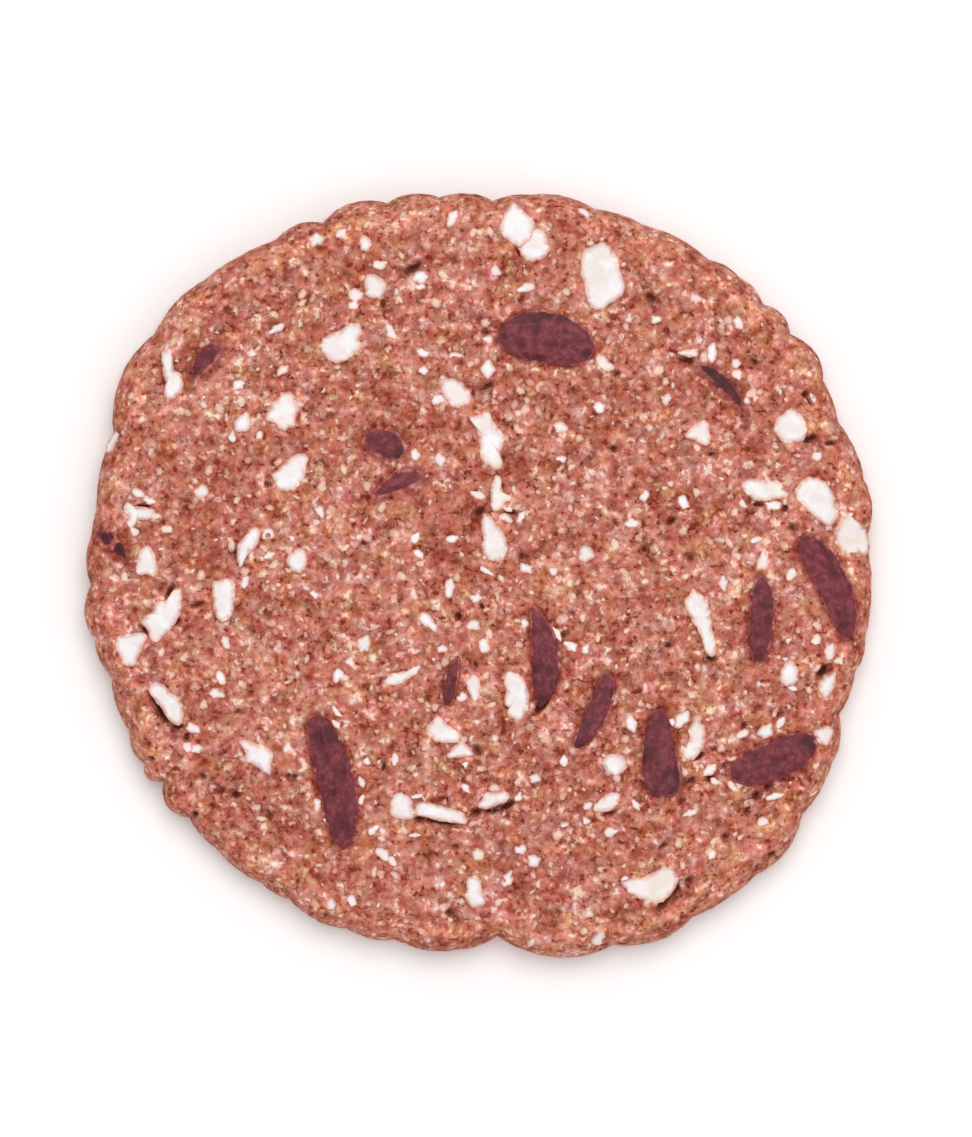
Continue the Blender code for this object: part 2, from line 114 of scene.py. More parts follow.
# Outlines of the nut pieces, in their order, read off the photograph: corners one after another as
# x and y from the piece's middle, in tenths of a millimetre
nutOutlines = (
    (-1, 36, 4, 35, 9, 31, 11, 24, 16, 20, 18, 10, 21, -2, 24, -12, 23, -22, 17, -25, 7, -32, 1, -37, -7,
     -38, -13, -33, -16, -22, -18, -10, -22, 0, -22, 15, -20, 27, -11, 31),
    (-4, 23, 3, 18, 9, 11, 15, 4, 20, -4, 15, -17, 5, -28, -4, -22, -12, -16, -17, -9, -16, 1, -11, 14),
    (3, 18, 10, 16, 13, 5, 14, -4, 11, -11, 5, -15, -2, -17, -9, -15, -15, -10, -19, 1, -11, 9, -3, 17),
    (-16, 21, -8, 24, 2, 23, 9, 20, 13, 14, 18, 8, 20, -4, 24, -13, 22, -22, 16, -28, 10, -27, 3, -21, -6,
     -13, -13, -5, -20, 2, -22, 10, -18, 16),
    (-5, 26, 3, 20, 9, 13, 14, 7, 18, 4, 20, -7, 21, -20, 13, -23, 8, -19, 2, -23, -2, -28, -9, -20, -16,
     -14, -21, -7, -21, 3, -18, 11, -12, 20),
    (-3, 32, 0, 30, 2, 22, 8, 12, 13, 6, 13, -3, 10, -12, 6, -18, 15, -22, 13, -30, 7, -32, -1, -28, -7,
     -23, -11, -16, -10, -6, -12, 4, -16, 14, -21, 22, -28, 28, -19, 26, -9, 27),
    (-27, 8, -11, 10, 1, 16, 11, 21, 23, 19, 26, 12, 27, 5, 23, -4, 18, -11, 11, -18, 1, -21, -9, -18, -19,
     -13, -27, -8, -34, -1, -37, 4),
    (12, 27, 16, 28, 19, 21, 18, 11, 17, 2, 13, -6, 8, -15, 2, -21, -5, -27, -10, -30, -14, -25, -17, -18,
     -20, -13, -27, -8, -20, -5, -21, -1, -12, 2, -9, 12, 0, 12, 5, 16, 8, 24),
    (-10, 42, -6, 30, -1, 29, 3, 24, 7, 19, 6, 12, 10, 9, 7, 5, 10, -1, 11, -12, 14, -20, 16, -27, 14, -37,
     10, -40, 5, -36, 2, -29, 0, -20, -4, -10, -9, -3, -13, 6, -18, 14, -19, 22, -13, 27, -10, 34),
    (-19, 5, -10, 10, -1, 12, 6, 18, 10, 21, 20, 20, 23, 16, 22, 10, 19, 3, 21, -2, 18, -8, 12, -12, 6,
     -17, 1, -20, -6, -21, -11, -19, -17, -13, -21, -8, -21, -1),
    (-9, 26, -4, 24, 1, 20, 4, 14, 10, 8, 13, 3, 15, -4, 17, -12, 13, -21, 5, -25, -3, -24, -9, -17, -10,
     -8, -8, 1, -11, 8, -11, 18),
    (-19, -2, -13, 3, -6, 9, 1, 15, 8, 20, 15, 20, 19, 15, 17, 9, 14, 1, 13, -7, 9, -13, 4, -18, -3, -21,
     -11, -20, -16, -15, -18, -9),
    (-19, 17, -16, 22, -9, 23, -2, 20, 3, 13, 9, 8, 14, 4, 18, -2, 19, -12, 18, -21, 13, -25, 7, -22, 2,
     -18, -2, -12, -5, -5, -10, 0, -14, 6, -19, 11),
    (-11, 24, -4, 25, 4, 21, 8, 16, 10, 9, 11, 2, 12, -3, 11, -10, 8, -17, 7, -23, 1, -26, -6, -23, -12,
     -18, -8, -12, -13, -9, -13, -4, -11, 5, -14, 12, -13, 19),
    (-2, 20, 5, 22, 11, 17, 14, 10, 15, 2, 14, -6, 13, -15, 7, -17, 2, -20, -5, -17, -8, -11, -16, -10,
     -19, -6, -15, 2, -11, 8, -6, 13),
    (-7, 13, -5, 17, 1, 19, 5, 15, 10, 11, 14, 5, 16, -2, 15, -10, 13, -15, 7, -17, 1, -17, -6, -18, -11,
     -14, -16, -8, -18, -2, -16, 5, -11, 10),
    (-23, 13, -13, 12, 0, 8, 14, 4, 24, 1, 26, -6, 27, -12, 14, -10, -1, -8, -16, -4, -28, -2, -29, 5, -26,
     10),
    (-15, 11, -7, 13, 1, 14, 10, 16, 16, 13, 16, 8, 12, 3, 9, -4, 6, -11, 3, -18, -4, -21, -9, -18, -12,
     -9, -15, -1, -16, 6),
    (-8, 19, -1, 21, 8, 21, 13, 17, 13, 6, 11, -3, 11, -10, 10, -17, 5, -23, -1, -25, -6, -21, -8, -13, -9,
     -5, -8, 0, -11, 6, -11, 14),
    (-22, 6, -18, 10, -6, 10, 3, 8, 11, 9, 19, 6, 22, 0, 28, -5, 23, -9, 13, -11, 1, -13, -9, -12, -16, -8,
     -21, -2, -24, 2),
    (-9, 23, -5, 26, 1, 27, 3, 18, 2, 10, 3, 4, 9, 2, 13, -4, 14, -11, 11, -20, 5, -26, -3, -27, -7, -20,
     -5, -10, -6, -1, -8, 9, -10, 16),
    (-16, 6, -11, 10, -5, 14, 2, 9, 9, 2, 17, -2, 20, -8, 15, -13, 7, -12, -2, -13, -9, -11, -15, -5, -19,
     0),
    (-22, 14, -16, 17, -7, 14, 1, 11, 11, 7, 15, 2, 13, -7, 12, -15, 14, -21, 6, -18, 0, -12, -3, -9, -12,
     -7, -14, 0, -15, 7, -19, 11),
    (-13, 10, -8, 14, -1, 13, 6, 10, 10, 5, 15, -1, 16, -9, 10, -13, 3, -18, -4, -15, -8, -7, -14, -1, -14,
     5),
    (-2, 18, 3, 22, 10, 17, 12, 10, 12, 4, 11, -2, 8, -9, 4, -15, -1, -20, -8, -19, -11, -14, -10, -7, -5,
     -2, -4, 3, -6, 9, -5, 14),
    (-4, 13, 0, 16, 4, 13, 7, 7, 9, 0, 11, -8, 11, -14, 6, -17, 0, -14, -6, -14, -11, -11, -12, -5, -10, 1,
     -8, 8),
    (-8, 12, -5, 14, 1, 13, 7, 8, 12, 4, 11, -4, 7, -11, 1, -12, -5, -11, -10, -8, -8, -2, -9, 6),
    (-15, -2, -12, 5, -6, 8, 1, 8, 9, 9, 15, 7, 18, 2, 13, -3, 6, -6, -1, -9, -9, -11, -17, -10, -20, -7),
    (-5, 12, 1, 14, 8, 11, 13, 5, 12, -1, 14, -7, 15, -13, 8, -15, 1, -13, -4, -11, -9, -10, -11, -4, -10,
     1, -8, 7),
    (4, 19, 9, 20, 12, 16, 12, 10, 9, 2, 4, -3, 0, -7, -4, -13, -6, -22, -10, -23, -12, -16, -12, -7, -11,
     0, -7, 5, -2, 11, 1, 16),
    (-15, 5, -13, 9, -8, 9, -5, 4, 1, 4, 9, 3, 16, 3, 17, -3, 14, -7, 7, -8, 1, -8, -2, -8, -4, -15, -9,
     -17, -11, -12, -10, -6, -11, -2, -15, 0),
    (-7, 9, -2, 13, 3, 13, 7, 8, 8, 2, 9, -5, 5, -11, -2, -12, -7, -9, -10, -3, -9, 5),
    (-17, -7, -11, -1, -7, 4, -2, 8, 4, 10, 10, 11, 14, 8, 14, 3, 12, -2, 8, -6, 3, -10, -4, -11, -11, -11,
     -17, -9),
    (-10, 3, -6, 7, -2, 11, 3, 13, 8, 15, 10, 12, 10, 6, 8, -1, 5, -7, 2, -12, -1, -15, -4, -13, -7, -8,
     -10, -3),
    (-10, 6, -5, 9, 1, 10, 7, 9, 11, 5, 13, 0, 12, -5, 8, -9, 2, -10, -4, -9, -8, -5, -11, 0),
    (-6, 7, -1, 10, 4, 12, 8, 10, 9, 4, 9, -2, 11, -7, 10, -12, 6, -14, 2, -12, -3, -11, -6, -8, -10, -7,
     -15, -6, -16, -3, -12, 1, -9, 4),
    (-8, 6, -3, 8, 1, 11, 6, 11, 9, 7, 10, 1, 10, -5, 7, -10, 3, -13, -2, -12, -7, -9, -10, -4, -10, 1),
    (-6, 13, -2, 15, 3, 14, 7, 10, 8, 4, 8, -2, 10, -7, 12, -11, 10, -15, 4, -17, -2, -17, -6, -15, -7, -8,
     -8, -1, -8, 6),
    (-5, 18, 1, 17, 3, 12, 2, 5, 3, -1, 9, -3, 13, -5, 11, -9, 6, -12, 3, -17, -1, -20, -6, -21, -9, -16,
     -8, -10, -8, -2, -8, 6, -6, 13),
    (-17, -4, -11, 0, -9, 3, -3, 2, 3, 4, 9, 4, 15, 6, 19, 11, 21, 13, 20, 7, 17, 2, 12, -1, 6, -4, 0, -7,
     -7, -10, -13, -10, -17, -8),
    (-13, -2, -9, 1, -5, 5, 0, 9, 3, 9, 7, 5, 12, 1, 14, -3, 11, -5, 4, -5, -4, -6, -10, -7, -14, -5),
    (-5, 9, -1, 12, 4, 11, 7, 7, 6, 1, 6, -5, 5, -11, 2, -14, -1, -12, -3, -7, -5, -2, -7, 3),
    (-7, 1, -3, 5, 1, 9, 4, 11, 7, 7, 8, 1, 7, -6, 3, -9, -2, -10, -7, -9, -8, -4),
    (-5, -12, -1, -13, 3, -8, 6, -2, 9, 4, 10, 10, 6, 12, 1, 10, -4, 4, -7, -3, -7, -9),
    (-10, 6, -5, 9, 1, 10, 6, 9, 10, 5, 11, 1, 8, -3, 5, -8, 1, -10, -4, -7, -8, -3, -11, 1),
)

# Chips, the smallest nut pieces that still show singly: middle x and y, length, width, turn
chipRows = (
    (-5.5, -5.1, 2.8, 1.3, 135), (22.7, -15.9, 2.4, 1.1, 55), (-2.9, 39.7, 2.4, 1.1, 70),
    (17.0, -16.5, 2.3, 1.2, 100), (31.4, 1.6, 2.4, 1.3, 85), (1.0, 22.8, 2.2, 1.2, 95),
    (31.9, -17.2, 2.4, 1.2, 50), (14.1, 23.6, 2.2, 1.4, 145), (23.3, 24.7, 2.4, 1.1, 0),
    (25.9, 24.8, 2.3, 1.0, 85), (-6.5, 33.1, 2.0, 1.1, 10), (39.0, -8.5, 2.0, 1.0, 85),
    (11.9, 2.4, 1.6, 1.5, 60), (-3.2, -1.3, 2.3, 1.0, 85), (-12.7, -7.7, 1.8, 1.2, 80),
    (-22.4, 27.4, 2.2, 0.8, 30), (25.6, -21.6, 1.6, 1.0, 45), (-10.9, 34.5, 1.8, 0.8, 5),
    (5.3, 31.9, 2.2, 0.9, 20), (-9.7, 27.1, 1.9, 0.9, 120), (-28.0, -7.5, 1.6, 1.0, 115),
    (11.8, 40.2, 1.6, 1.0, 150), (13.4, 18.6, 1.7, 0.9, 165), (28.9, 28.0, 1.8, 0.9, 115),
)

# Bits of nut smaller than the chips, which the solids leave out: middle x and y, length, width, turn
bitRows = (
    (-25.0, 24.6, 1.5, 1.0, 135), (-13.5, 31.2, 1.7, 1.2, 0), (-13.9, 30.0, 0.9, 0.9, 0),
    (-15.2, 38.0, 1.7, 0.8, 35), (-24.3, 15.6, 0.9, 0.7, 90), (-27.3, 15.3, 1.3, 0.6, 95),
    (1.1, 26.2, 1.5, 0.9, 160), (-4.5, 19.5, 1.4, 0.9, 30), (-2.5, 24.3, 1.5, 0.9, 170),
    (-6.2, 22.7, 0.9, 0.8, 0), (-6.2, 24.7, 1.4, 0.7, 170), (-6.5, 32.1, 1.2, 0.6, 0),
    (28.6, 23.6, 0.9, 0.8, 0), (28.7, 22.3, 1.0, 0.8, 130), (37.1, 19.7, 1.2, 0.5, 120),
    (-37.9, 9.2, 1.2, 0.9, 150), (-36.4, 8.3, 1.4, 0.6, 170), (-38.2, 4.9, 1.2, 0.6, 110),
    (-23.4, 4.6, 1.2, 1.0, 30), (-23.2, 2.2, 1.2, 0.8, 20), (-25.9, -0.7, 1.2, 0.6, 75),
    (-18.2, -2.1, 1.1, 0.7, 160), (-28.6, -11.4, 2.0, 0.7, 110), (-14.3, -9.6, 1.0, 0.9, 0),
    (-0.3, -2.4, 1.3, 0.9, 0), (8.3, 0.5, 1.2, 0.6, 30), (0.9, 0.5, 1.8, 0.6, 150),
    (5.0, -5.3, 0.9, 0.7, 160), (8.7, -6.5, 1.8, 0.4, 120), (10.3, -7.8, 1.9, 0.9, 155),
    (11.9, -8.2, 1.1, 0.7, 80), (0.6, -7.8, 1.7, 0.9, 100), (-4.1, -8.1, 1.1, 0.7, 20),
    (-6.6, 2.4, 1.6, 0.8, 150), (-6.9, 4.2, 1.1, 0.8, 60), (-3.0, 4.1, 1.3, 0.6, 5),
    (-7.0, 13.5, 1.2, 0.9, 80), (-0.1, 9.1, 1.7, 0.8, 150), (9.1, 12.9, 1.1, 0.8, 0),
    (3.2, 7.5, 1.1, 0.5, 150), (3.1, 6.3, 1.5, 1.0, 150), (4.7, 6.5, 1.1, 0.6, 60),
    (-1.9, -13.5, 1.2, 0.9, 40), (32.6, 7.8, 2.1, 0.9, 0), (29.2, 8.0, 1.3, 0.6, -40),
    (31.0, 6.2, 1.6, 0.6, -65), (37.6, 13.3, 1.2, 1.0, 10), (30.9, 4.0, 1.2, 0.6, 25),
    (27.1, -0.9, 1.8, 0.8, 100), (34.7, 0.2, 1.6, 0.9, 50), (34.3, -6.9, 1.3, 0.8, 100),
    (37.5, -7.1, 1.2, 0.9, 60), (34.9, -12.5, 1.0, 0.5, 0), (40.0, -9.4, 1.3, 0.7, 170),
    (18.5, 8.9, 1.3, 0.8, 60), (17.0, 5.8, 1.6, 0.7, 10), (22.7, 8.1, 1.6, 0.8, 125),
    (-31.6, -16.9, 2.2, 1.0, -15), (-32.3, -19.0, 0.8, 0.8, 0), (-21.2, -19.1, 1.1, 0.9, 60),
    (-17.9, -25.4, 1.2, 1.0, 80), (-16.7, -27.2, 1.0, 0.5, -20), (-15.6, -34.7, 1.8, 0.6, -25),
    (-14.0, -36.2, 1.3, 0.8, 120), (-15.7, -15.2, 1.6, 0.6, -55), (-15.8, -16.5, 1.0, 0.5, -50),
    (-7.5, -26.5, 1.1, 0.6, 50), (4.5, -24.5, 1.1, 0.8, 40), (12.1, -25.6, 1.0, 0.7, 45),
    (4.0, -18.0, 1.2, 0.6, 95), (9.5, -20.6, 1.2, 0.6, 100), (-6.8, -24.5, 1.4, 0.4, 10),
    (-11.7, -28.2, 1.1, 0.8, 30), (-7.0, -28.8, 1.5, 0.4, 8), (-13.0, -24.9, 1.2, 0.5, 80),
    (-13.0, -22.9, 1.6, 0.6, -60), (-12.6, -16.7, 1.2, 0.5, 75), (-11.8, -17.6, 1.2, 0.5, 0),
    (-12.4, -20.6, 0.8, 0.6, 0), (-9.3, -20.4, 1.6, 0.6, 85), (-1.4, -23.6, 1.1, 0.5, -50),
    (-1.6, -21.1, 0.9, 0.4, 30), (11.3, -27.1, 2.1, 0.8, -5), (9.4, -28.0, 1.8, 1.5, 30),
    (14.7, -28.5, 1.9, 0.8, 15), (3.3, -33.6, 1.7, 1.2, 60), (16.2, -33.8, 1.0, 0.6, 15),
    (26.2, -22.8, 0.9, 0.5, -50), (32.9, -24.5, 2.1, 0.6, 15), (37.2, -24.1, 1.3, 0.7, 30),
    (28.2, -23.4, 1.3, 0.6, -60), (29.3, -17.5, 1.5, 0.7, 25), (33.5, -16.3, 1.2, 0.6, 60),
    (26.0, -31.0, 0.9, 0.8, 0), (21.4, -16.3, 0.6, 0.5, 0), (23.5, -26.4, 1.9, 0.7, 20),
    (17.5, -25.5, 1.2, 0.5, -60), (4.7, -30.4, 1.1, 0.9, 0), (-4.0, -34.3, 0.7, 0.6, 0),
    (-9.7, -31.6, 1.5, 0.6, -50),
)

# Open gaps in the crumb, mostly beside a nut: middle x and y, length, width, turn, depth
gapRows = (
    (-7.2, 34.2, 2.4, 0.8, 35, 0.9), (1.0, 21.1, 1.6, 0.6, 20, 0.7), (0.8, 27.0, 1.0, 0.4, 0, 0.6),
    (-10.6, 30.1, 1.2, 0.5, 90, 0.6), (4.4, 36.0, 1.4, 0.4, -55, 0.5), (36.9, 15.3, 2.2, 0.9, 20, 0.8),
    (39.3, 14.8, 1.8, 0.5, 8, 0.6), (36.5, 20.3, 1.1, 0.7, 20, 0.8), (36.8, 19.5, 1.5, 0.4, -60, 0.6),
    (30.7, 23.8, 1.4, 0.5, -25, 0.6), (19.2, 30.9, 1.6, 1.0, -30, 0.7), (23.1, 23.9, 1.8, 0.6, 175, 0.8),
    (15.3, 22.4, 0.8, 0.7, 0, 0.6), (15.0, 14.1, 1.0, 0.8, 20, 0.7), (-35.3, 24.2, 1.4, 0.3, 90, 0.4),
    (-33.5, 22.6, 0.9, 0.4, -30, 0.5), (-37.2, 7.7, 2.0, 0.4, 0, 0.6), (-39.4, 7.7, 1.0, 0.4, 80, 0.5),
    (-37.0, -6.0, 1.4, 0.4, -40, 0.8), (-34.2, -1.7, 1.9, 0.5, 70, 0.6), (-33.4, -5.1, 0.9, 0.4, 50, 0.5),
    (-31.2, -3.2, 1.7, 0.3, 20, 0.5), (-23.5, 10.2, 0.9, 0.4, -60, 0.5), (0.1, 7.1, 1.8, 0.9, 40, 1.0),
    (2.4, 13.0, 1.0, 0.4, 0, 0.6), (3.6, 7.0, 2.2, 0.5, 0, 0.7), (0.4, -3.4, 0.8, 0.5, 130, 0.6),
    (-2.2, -4.5, 0.9, 0.7, 60, 0.9), (9.4, -6.5, 0.9, 0.7, 45, 0.6), (-0.3, -9.8, 0.8, 0.5, 100, 0.6),
    (3.3, -14.4, 0.8, 0.5, 0, 0.6), (4.8, 2.2, 0.9, 0.6, 90, 0.5), (38.5, -10.6, 2.3, 1.1, 35, 1.2),
    (37.3, -12.5, 1.0, 0.5, 80, 0.8), (25.7, -9.2, 1.7, 0.6, -15, 0.9), (21.1, -7.7, 0.9, 0.7, 0, 0.7),
    (18.4, 2.9, 1.0, 0.8, 130, 0.7), (21.4, 6.1, 1.1, 0.6, 25, 0.8), (23.5, 2.0, 0.8, 0.5, 90, 0.5),
    (31.0, 7.9, 1.4, 0.4, -5, 0.5), (34.0, 7.5, 0.8, 0.5, 60, 0.6), (34.8, 5.3, 0.9, 0.4, -50, 0.5),
    (25.8, 13.5, 1.0, 0.4, 10, 0.5), (-35.3, -15.0, 5.2, 0.8, -56, 1.3), (-33.4, -16.8, 1.6, 0.5, 8, 0.9),
    (-32.4, -17.9, 1.1, 0.6, 80, 0.8), (-36.5, -20.4, 0.7, 0.5, -20, 0.5),
    (-30.6, -22.2, 0.9, 0.4, -60, 0.5), (-28.5, -23.8, 0.8, 0.4, 60, 0.6), (-26.9, -24.3, 0.9, 0.7, 0, 0.6),
    (-29.7, -25.6, 0.7, 0.5, 0, 0.5), (-31.7, -26.7, 0.7, 0.6, 0, 0.6), (-23.2, -26.4, 1.2, 0.3, -60, 0.5),
    (-21.1, -22.2, 0.6, 0.5, 0, 0.5), (-20.4, -22.3, 0.6, 0.5, 0, 0.5), (-4.3, -27.3, 5.4, 0.5, -11, 0.9),
    (-6.6, -27.0, 1.0, 0.5, 0, 0.8), (-0.2, -26.2, 1.2, 0.7, 0, 0.8), (3.1, -25.6, 2.4, 0.7, 30, 1.1),
    (1.5, -26.1, 2.4, 0.3, 4, 0.9), (14.6, -26.3, 2.0, 0.3, 15, 0.6), (-0.1, -19.3, 1.3, 0.6, -55, 0.7),
    (-10.5, -21.2, 1.3, 0.4, 75, 0.6), (0.8, -22.7, 0.6, 0.4, 0, 0.5), (-2.6, -30.0, 0.7, 0.5, 0, 0.5),
    (-3.2, -37.4, 0.8, 0.8, 0, 0.4), (7.0, -14.4, 2.6, 0.7, 48, 0.9), (11.0, -15.0, 0.7, 0.5, 0, 0.5),
    (20.9, -36.2, 3.4, 0.9, 42, 1.2), (23.4, -33.9, 1.1, 0.8, 0, 0.6), (24.5, -20.0, 1.7, 0.5, 35, 0.7),
    (23.3, -22.8, 1.8, 0.4, 30, 0.7), (25.6, -22.5, 0.8, 0.7, 0, 0.8), (30.8, -24.4, 1.4, 0.9, 40, 0.9),
    (32.1, -23.5, 0.9, 0.6, 40, 0.8), (29.8, -26.1, 0.9, 0.5, 70, 0.8), (26.1, -19.2, 0.9, 0.4, 0, 0.6),
    (29.4, -16.6, 0.7, 0.5, 0, 0.7), (27.2, -21.1, 0.8, 0.4, 80, 0.5), (27.4, -28.9, 0.7, 0.5, 0, 0.6),
    (20.5, -29.9, 1.4, 0.4, 40, 0.6), (32.7, -31.1, 1.0, 0.6, 20, 0.4), (21.9, -35.0, 2.0, 0.6, 65, 0.9),
)


def swellWaves():
    # plane waves of seeded direction, length and phase, drawn as the solids' source draws them
    rng = random.Random(form["swellSeed"])
    waves = []
    for _ in range(form["swellCount"]):
        direction = rng.uniform(0, 2 * math.pi)
        turns = 2 * math.pi / rng.uniform(*form["swellLength"])
        phase = rng.uniform(0, 2 * math.pi)
        waves.append((turns * math.cos(direction), turns * math.sin(direction), phase))
    return waves


waves = swellWaves()


def rimRadius(angle):
    # distance from the middle to the rim: a line from notch to notch, plus the lobe's swell,
    # which is a sine over the lobe raised to a power under 1
    degrees = (np.degrees(angle) - lobes[0, 0]) % 360 + lobes[0, 0]
    index = np.searchsorted(lobes[:, 0], degrees, side="right") - 1
    following = (index + 1) % len(lobes)
    start, notch, swell = np.moveaxis(lobes[index], -1, 0)
    end = lobes[following, 0] + np.where(following == 0, 360, 0)
    share = (degrees - start) / (end - start)
    line = notch + (lobes[following, 1] - notch) * share
    return form["meanRadius"] + line + swell * np.sin(np.pi * share) ** form["lobeFullness"]


def plateau(x, y, rim):
    # height of the top inside the rim's rounding: the thickness, less a paraboloid, plus the swells
    swell = sum(np.sin(across * x + along * y + phase) for across, along, phase in waves)
    rise = form["middleRise"] * (x * x + y * y) / (rim * rim)
    return form["thickness"] - rise + form["swellHeight"] / math.sqrt(len(waves)) * swell


def smoothTop(x, y):
    # height of the upper surface without crumb: the waist, plus the rest of the plateau's height times
    # the share that a superellipse has reached at that distance in from the rim
    rim = rimRadius(np.arctan2(y, x))
    left = np.clip(1 - (rim - np.hypot(x, y)) / form["shoulder"], 0, 1)
    share = (1 - left ** form["roundness"]) ** (1 / form["roundness"])
    return form["waist"] + (plateau(x, y, rim) - form["waist"]) * share


def smoothStep(value, low, high):
    # 0 below low, 1 above high, and 3t^2 - 2t^3 in between
    t = np.clip((value - low) / (high - low), 0, 1)
    return t * t * (3 - 2 * t)


def seat(x, y, length, width, turn):
    # where a piece lies: its middle, and its own axes as the rows of a matrix. It lies like a board on
    # the dough, with its slopes read from the heights under its ends and its sides
    board, steepest, narrowest = 0.35, 1.2, 2.0
    heading = math.radians(turn)
    axes, heights = [], []
    reaches = (board * length, board * max(width, narrowest))
    for direction, reach in zip((heading, heading + math.pi / 2), reaches):
        stepX, stepY = reach * math.cos(direction), reach * math.sin(direction)
        ahead, behind = smoothTop(np.array((x + stepX, x - stepX)), np.array((y + stepY, y - stepY)))
        slope = max(-steepest, min(steepest, (ahead - behind) / (2 * reach)))
        axes.append(np.array((math.cos(direction), math.sin(direction), slope)))
        heights += [ahead, behind]
    along = axes[0] / np.linalg.norm(axes[0])
    up = np.cross(along, axes[1])
    up /= np.linalg.norm(up)
    return np.array((x, y, sum(heights) / 4)), np.array((along, np.cross(up, along), up))


chipLook = {"corners": 5, "seed": 4400, "scattered": 24, "length": (1.2, 1.7), "shape": (0.6, 0.9),
            "room": 1.0, "inset": 1.5}


def scatteredChips():
    # the chips that a rule places, drawn as the solids' source draws them
    look = chipLook
    rng = random.Random(look["seed"])
    taken = [(row[0], row[1], max(row[2], row[3]) / 2) for row in raisinRows + nutRows + chipRows]
    chips = []
    while len(chips) < look["scattered"]:
        angle = rng.uniform(0, 2 * math.pi)
        radius = math.sqrt(rng.random()) * (float(rimRadius(np.array(angle))) - look["inset"])
        x, y, length = radius * math.cos(angle), radius * math.sin(angle), rng.uniform(*look["length"])
        width, turn = length * rng.uniform(*look["shape"]), rng.uniform(0, 180)
        if all(math.hypot(x - tx, y - ty) > reach + length / 2 + look["room"] for tx, ty, reach in taken):
            taken.append((x, y, length / 2))
            chips.append((x, y, length, width, turn))
    return tuple(chips)


allChips = chipRows + scatteredChips()


# Noise worked out on whole arrays

def hashed(cells, seed, count):
    # numbers from 0 to 1 for whole-numbered cells: their coordinates and the seed are multiplied by
    # large primes and folded together, then shifted and multiplied again for each further number
    mixed = cells[..., 0] * 73856093 ^ cells[..., 1] * 19349663 ^ cells[..., 2] * 83492791
    mixed = (mixed ^ seed * 2654435761) & 0xFFFFFFFF
    numbers = []
    for _ in range(count):
        mixed = ((mixed ^ (mixed >> 15)) * 2246822519) & 0xFFFFFFFF
        mixed = ((mixed ^ (mixed >> 13)) * 3266489917) & 0xFFFFFFFF
        numbers.append((mixed ^ (mixed >> 16)) / 0xFFFFFFFF)
    return np.stack(numbers, axis=-1)


def valueNoise(points, size, seed):
    # smooth noise from -1 to 1: each cube of that size has a number at its corners, and a point
    # takes their mean, weighted by a smooth step along each axis
    scaled = points / size
    cells = np.floor(scaled).astype(np.int64)
    blend = smoothStep(scaled - cells, 0, 1)
    total = np.zeros(points.shape[:-1])
    for corner in np.ndindex(2, 2, 2):
        weight = np.prod(np.where(corner, blend, 1 - blend), axis=-1)
        total += weight * hashed(cells + corner, seed, 1)[..., 0]
    return total * 2 - 1


def cellNoise(points, size, seed):
    # one seeded point in each cube of that size: the distances to the nearest and the second nearest,
    # in cubes, and a number from 0 to 1 that belongs to the nearest
    scaled = points / size
    cells = np.floor(scaled).astype(np.int64)
    nearest = np.full(points.shape[:-1], 9.0)
    second, owner = nearest.copy(), nearest.copy()
    for offset in np.ndindex(3, 3, 3):
        near = cells + np.array(offset) - 1
        numbers = hashed(near, seed, 4)
        distance = np.linalg.norm(near + numbers[..., :3] - scaled, axis=-1)
        closer = distance < nearest
        second = np.where(closer, nearest, np.minimum(second, distance))
        owner = np.where(closer, numbers[..., 3], owner)
        nearest = np.minimum(nearest, distance)
    return nearest, second, owner


# Meshes and materials

def makePiece(name, points, quads, triangles, material, masks=None, smooth=True):
    # a mesh object from arrays of points in millimetres and corner numbers, with one attribute per mask
    mesh = bpy.data.meshes.new(name)
    mesh.vertices.add(len(points))
    mesh.vertices.foreach_set("co", (points * mm).astype(np.float32).ravel())
    corners = np.concatenate((np.ravel(quads), np.ravel(triangles))).astype(np.int32)
    mesh.loops.add(len(corners))
    mesh.loops.foreach_set("vertex_index", corners)
    quadStarts = np.arange(len(quads)) * 4
    triangleStarts = len(quads) * 4 + np.arange(len(triangles)) * 3
    mesh.polygons.add(len(quads) + len(triangles))
    mesh.polygons.foreach_set("loop_start", np.concatenate((quadStarts, triangleStarts)).astype(np.int32))
    mesh.update(calc_edges=True)
    for key, values in (masks or {}).items():
        mesh.attributes.new(key, "FLOAT", "POINT").data.foreach_set("value", values.astype(np.float32))
    if smooth:
        mesh.shade_smooth()
    mesh.materials.append(material)
    piece = bpy.data.objects.new(name, mesh)
    bpy.context.scene.collection.objects.link(piece)
    print(name, "made:", len(quads) * 2 + len(triangles), "triangles")
    return piece


def closedRings(rings, poles=None):
    # closed skins from stacks of rings, given as (piece, ring, place around, xyz): quads from ring to
    # ring, and at each end a fan of triangles to a pole, which is the mean of the end ring if not given
    pieces, count, around, _ = rings.shape
    if poles is None:
        poles = rings[:, (0, -1)].mean(axis=2)
    points = np.concatenate((rings.reshape(pieces, -1, 3), poles), axis=1)
    first = (np.arange(pieces) * (count * around + 2))[:, None, None]
    ring, place = np.arange(count - 1)[:, None], np.arange(around)[None, :]
    upper, turned = ring * around + place, ring * around + (place + 1) % around
    quads = np.stack((upper, upper + around, turned + around, turned), axis=-1).reshape(-1, 4) + first
    place, following = np.arange(around), (np.arange(around) + 1) % around
    last = (count - 1) * around
    top = np.stack((np.full(around, count * around), place, following), axis=-1)
    bottom = np.stack((np.full(around, count * around + 1), last + following, last + place), axis=-1)
    triangles = np.concatenate((top, bottom)) + first
    return points.reshape(-1, 3), quads.reshape(-1, 4), triangles.reshape(-1, 3)


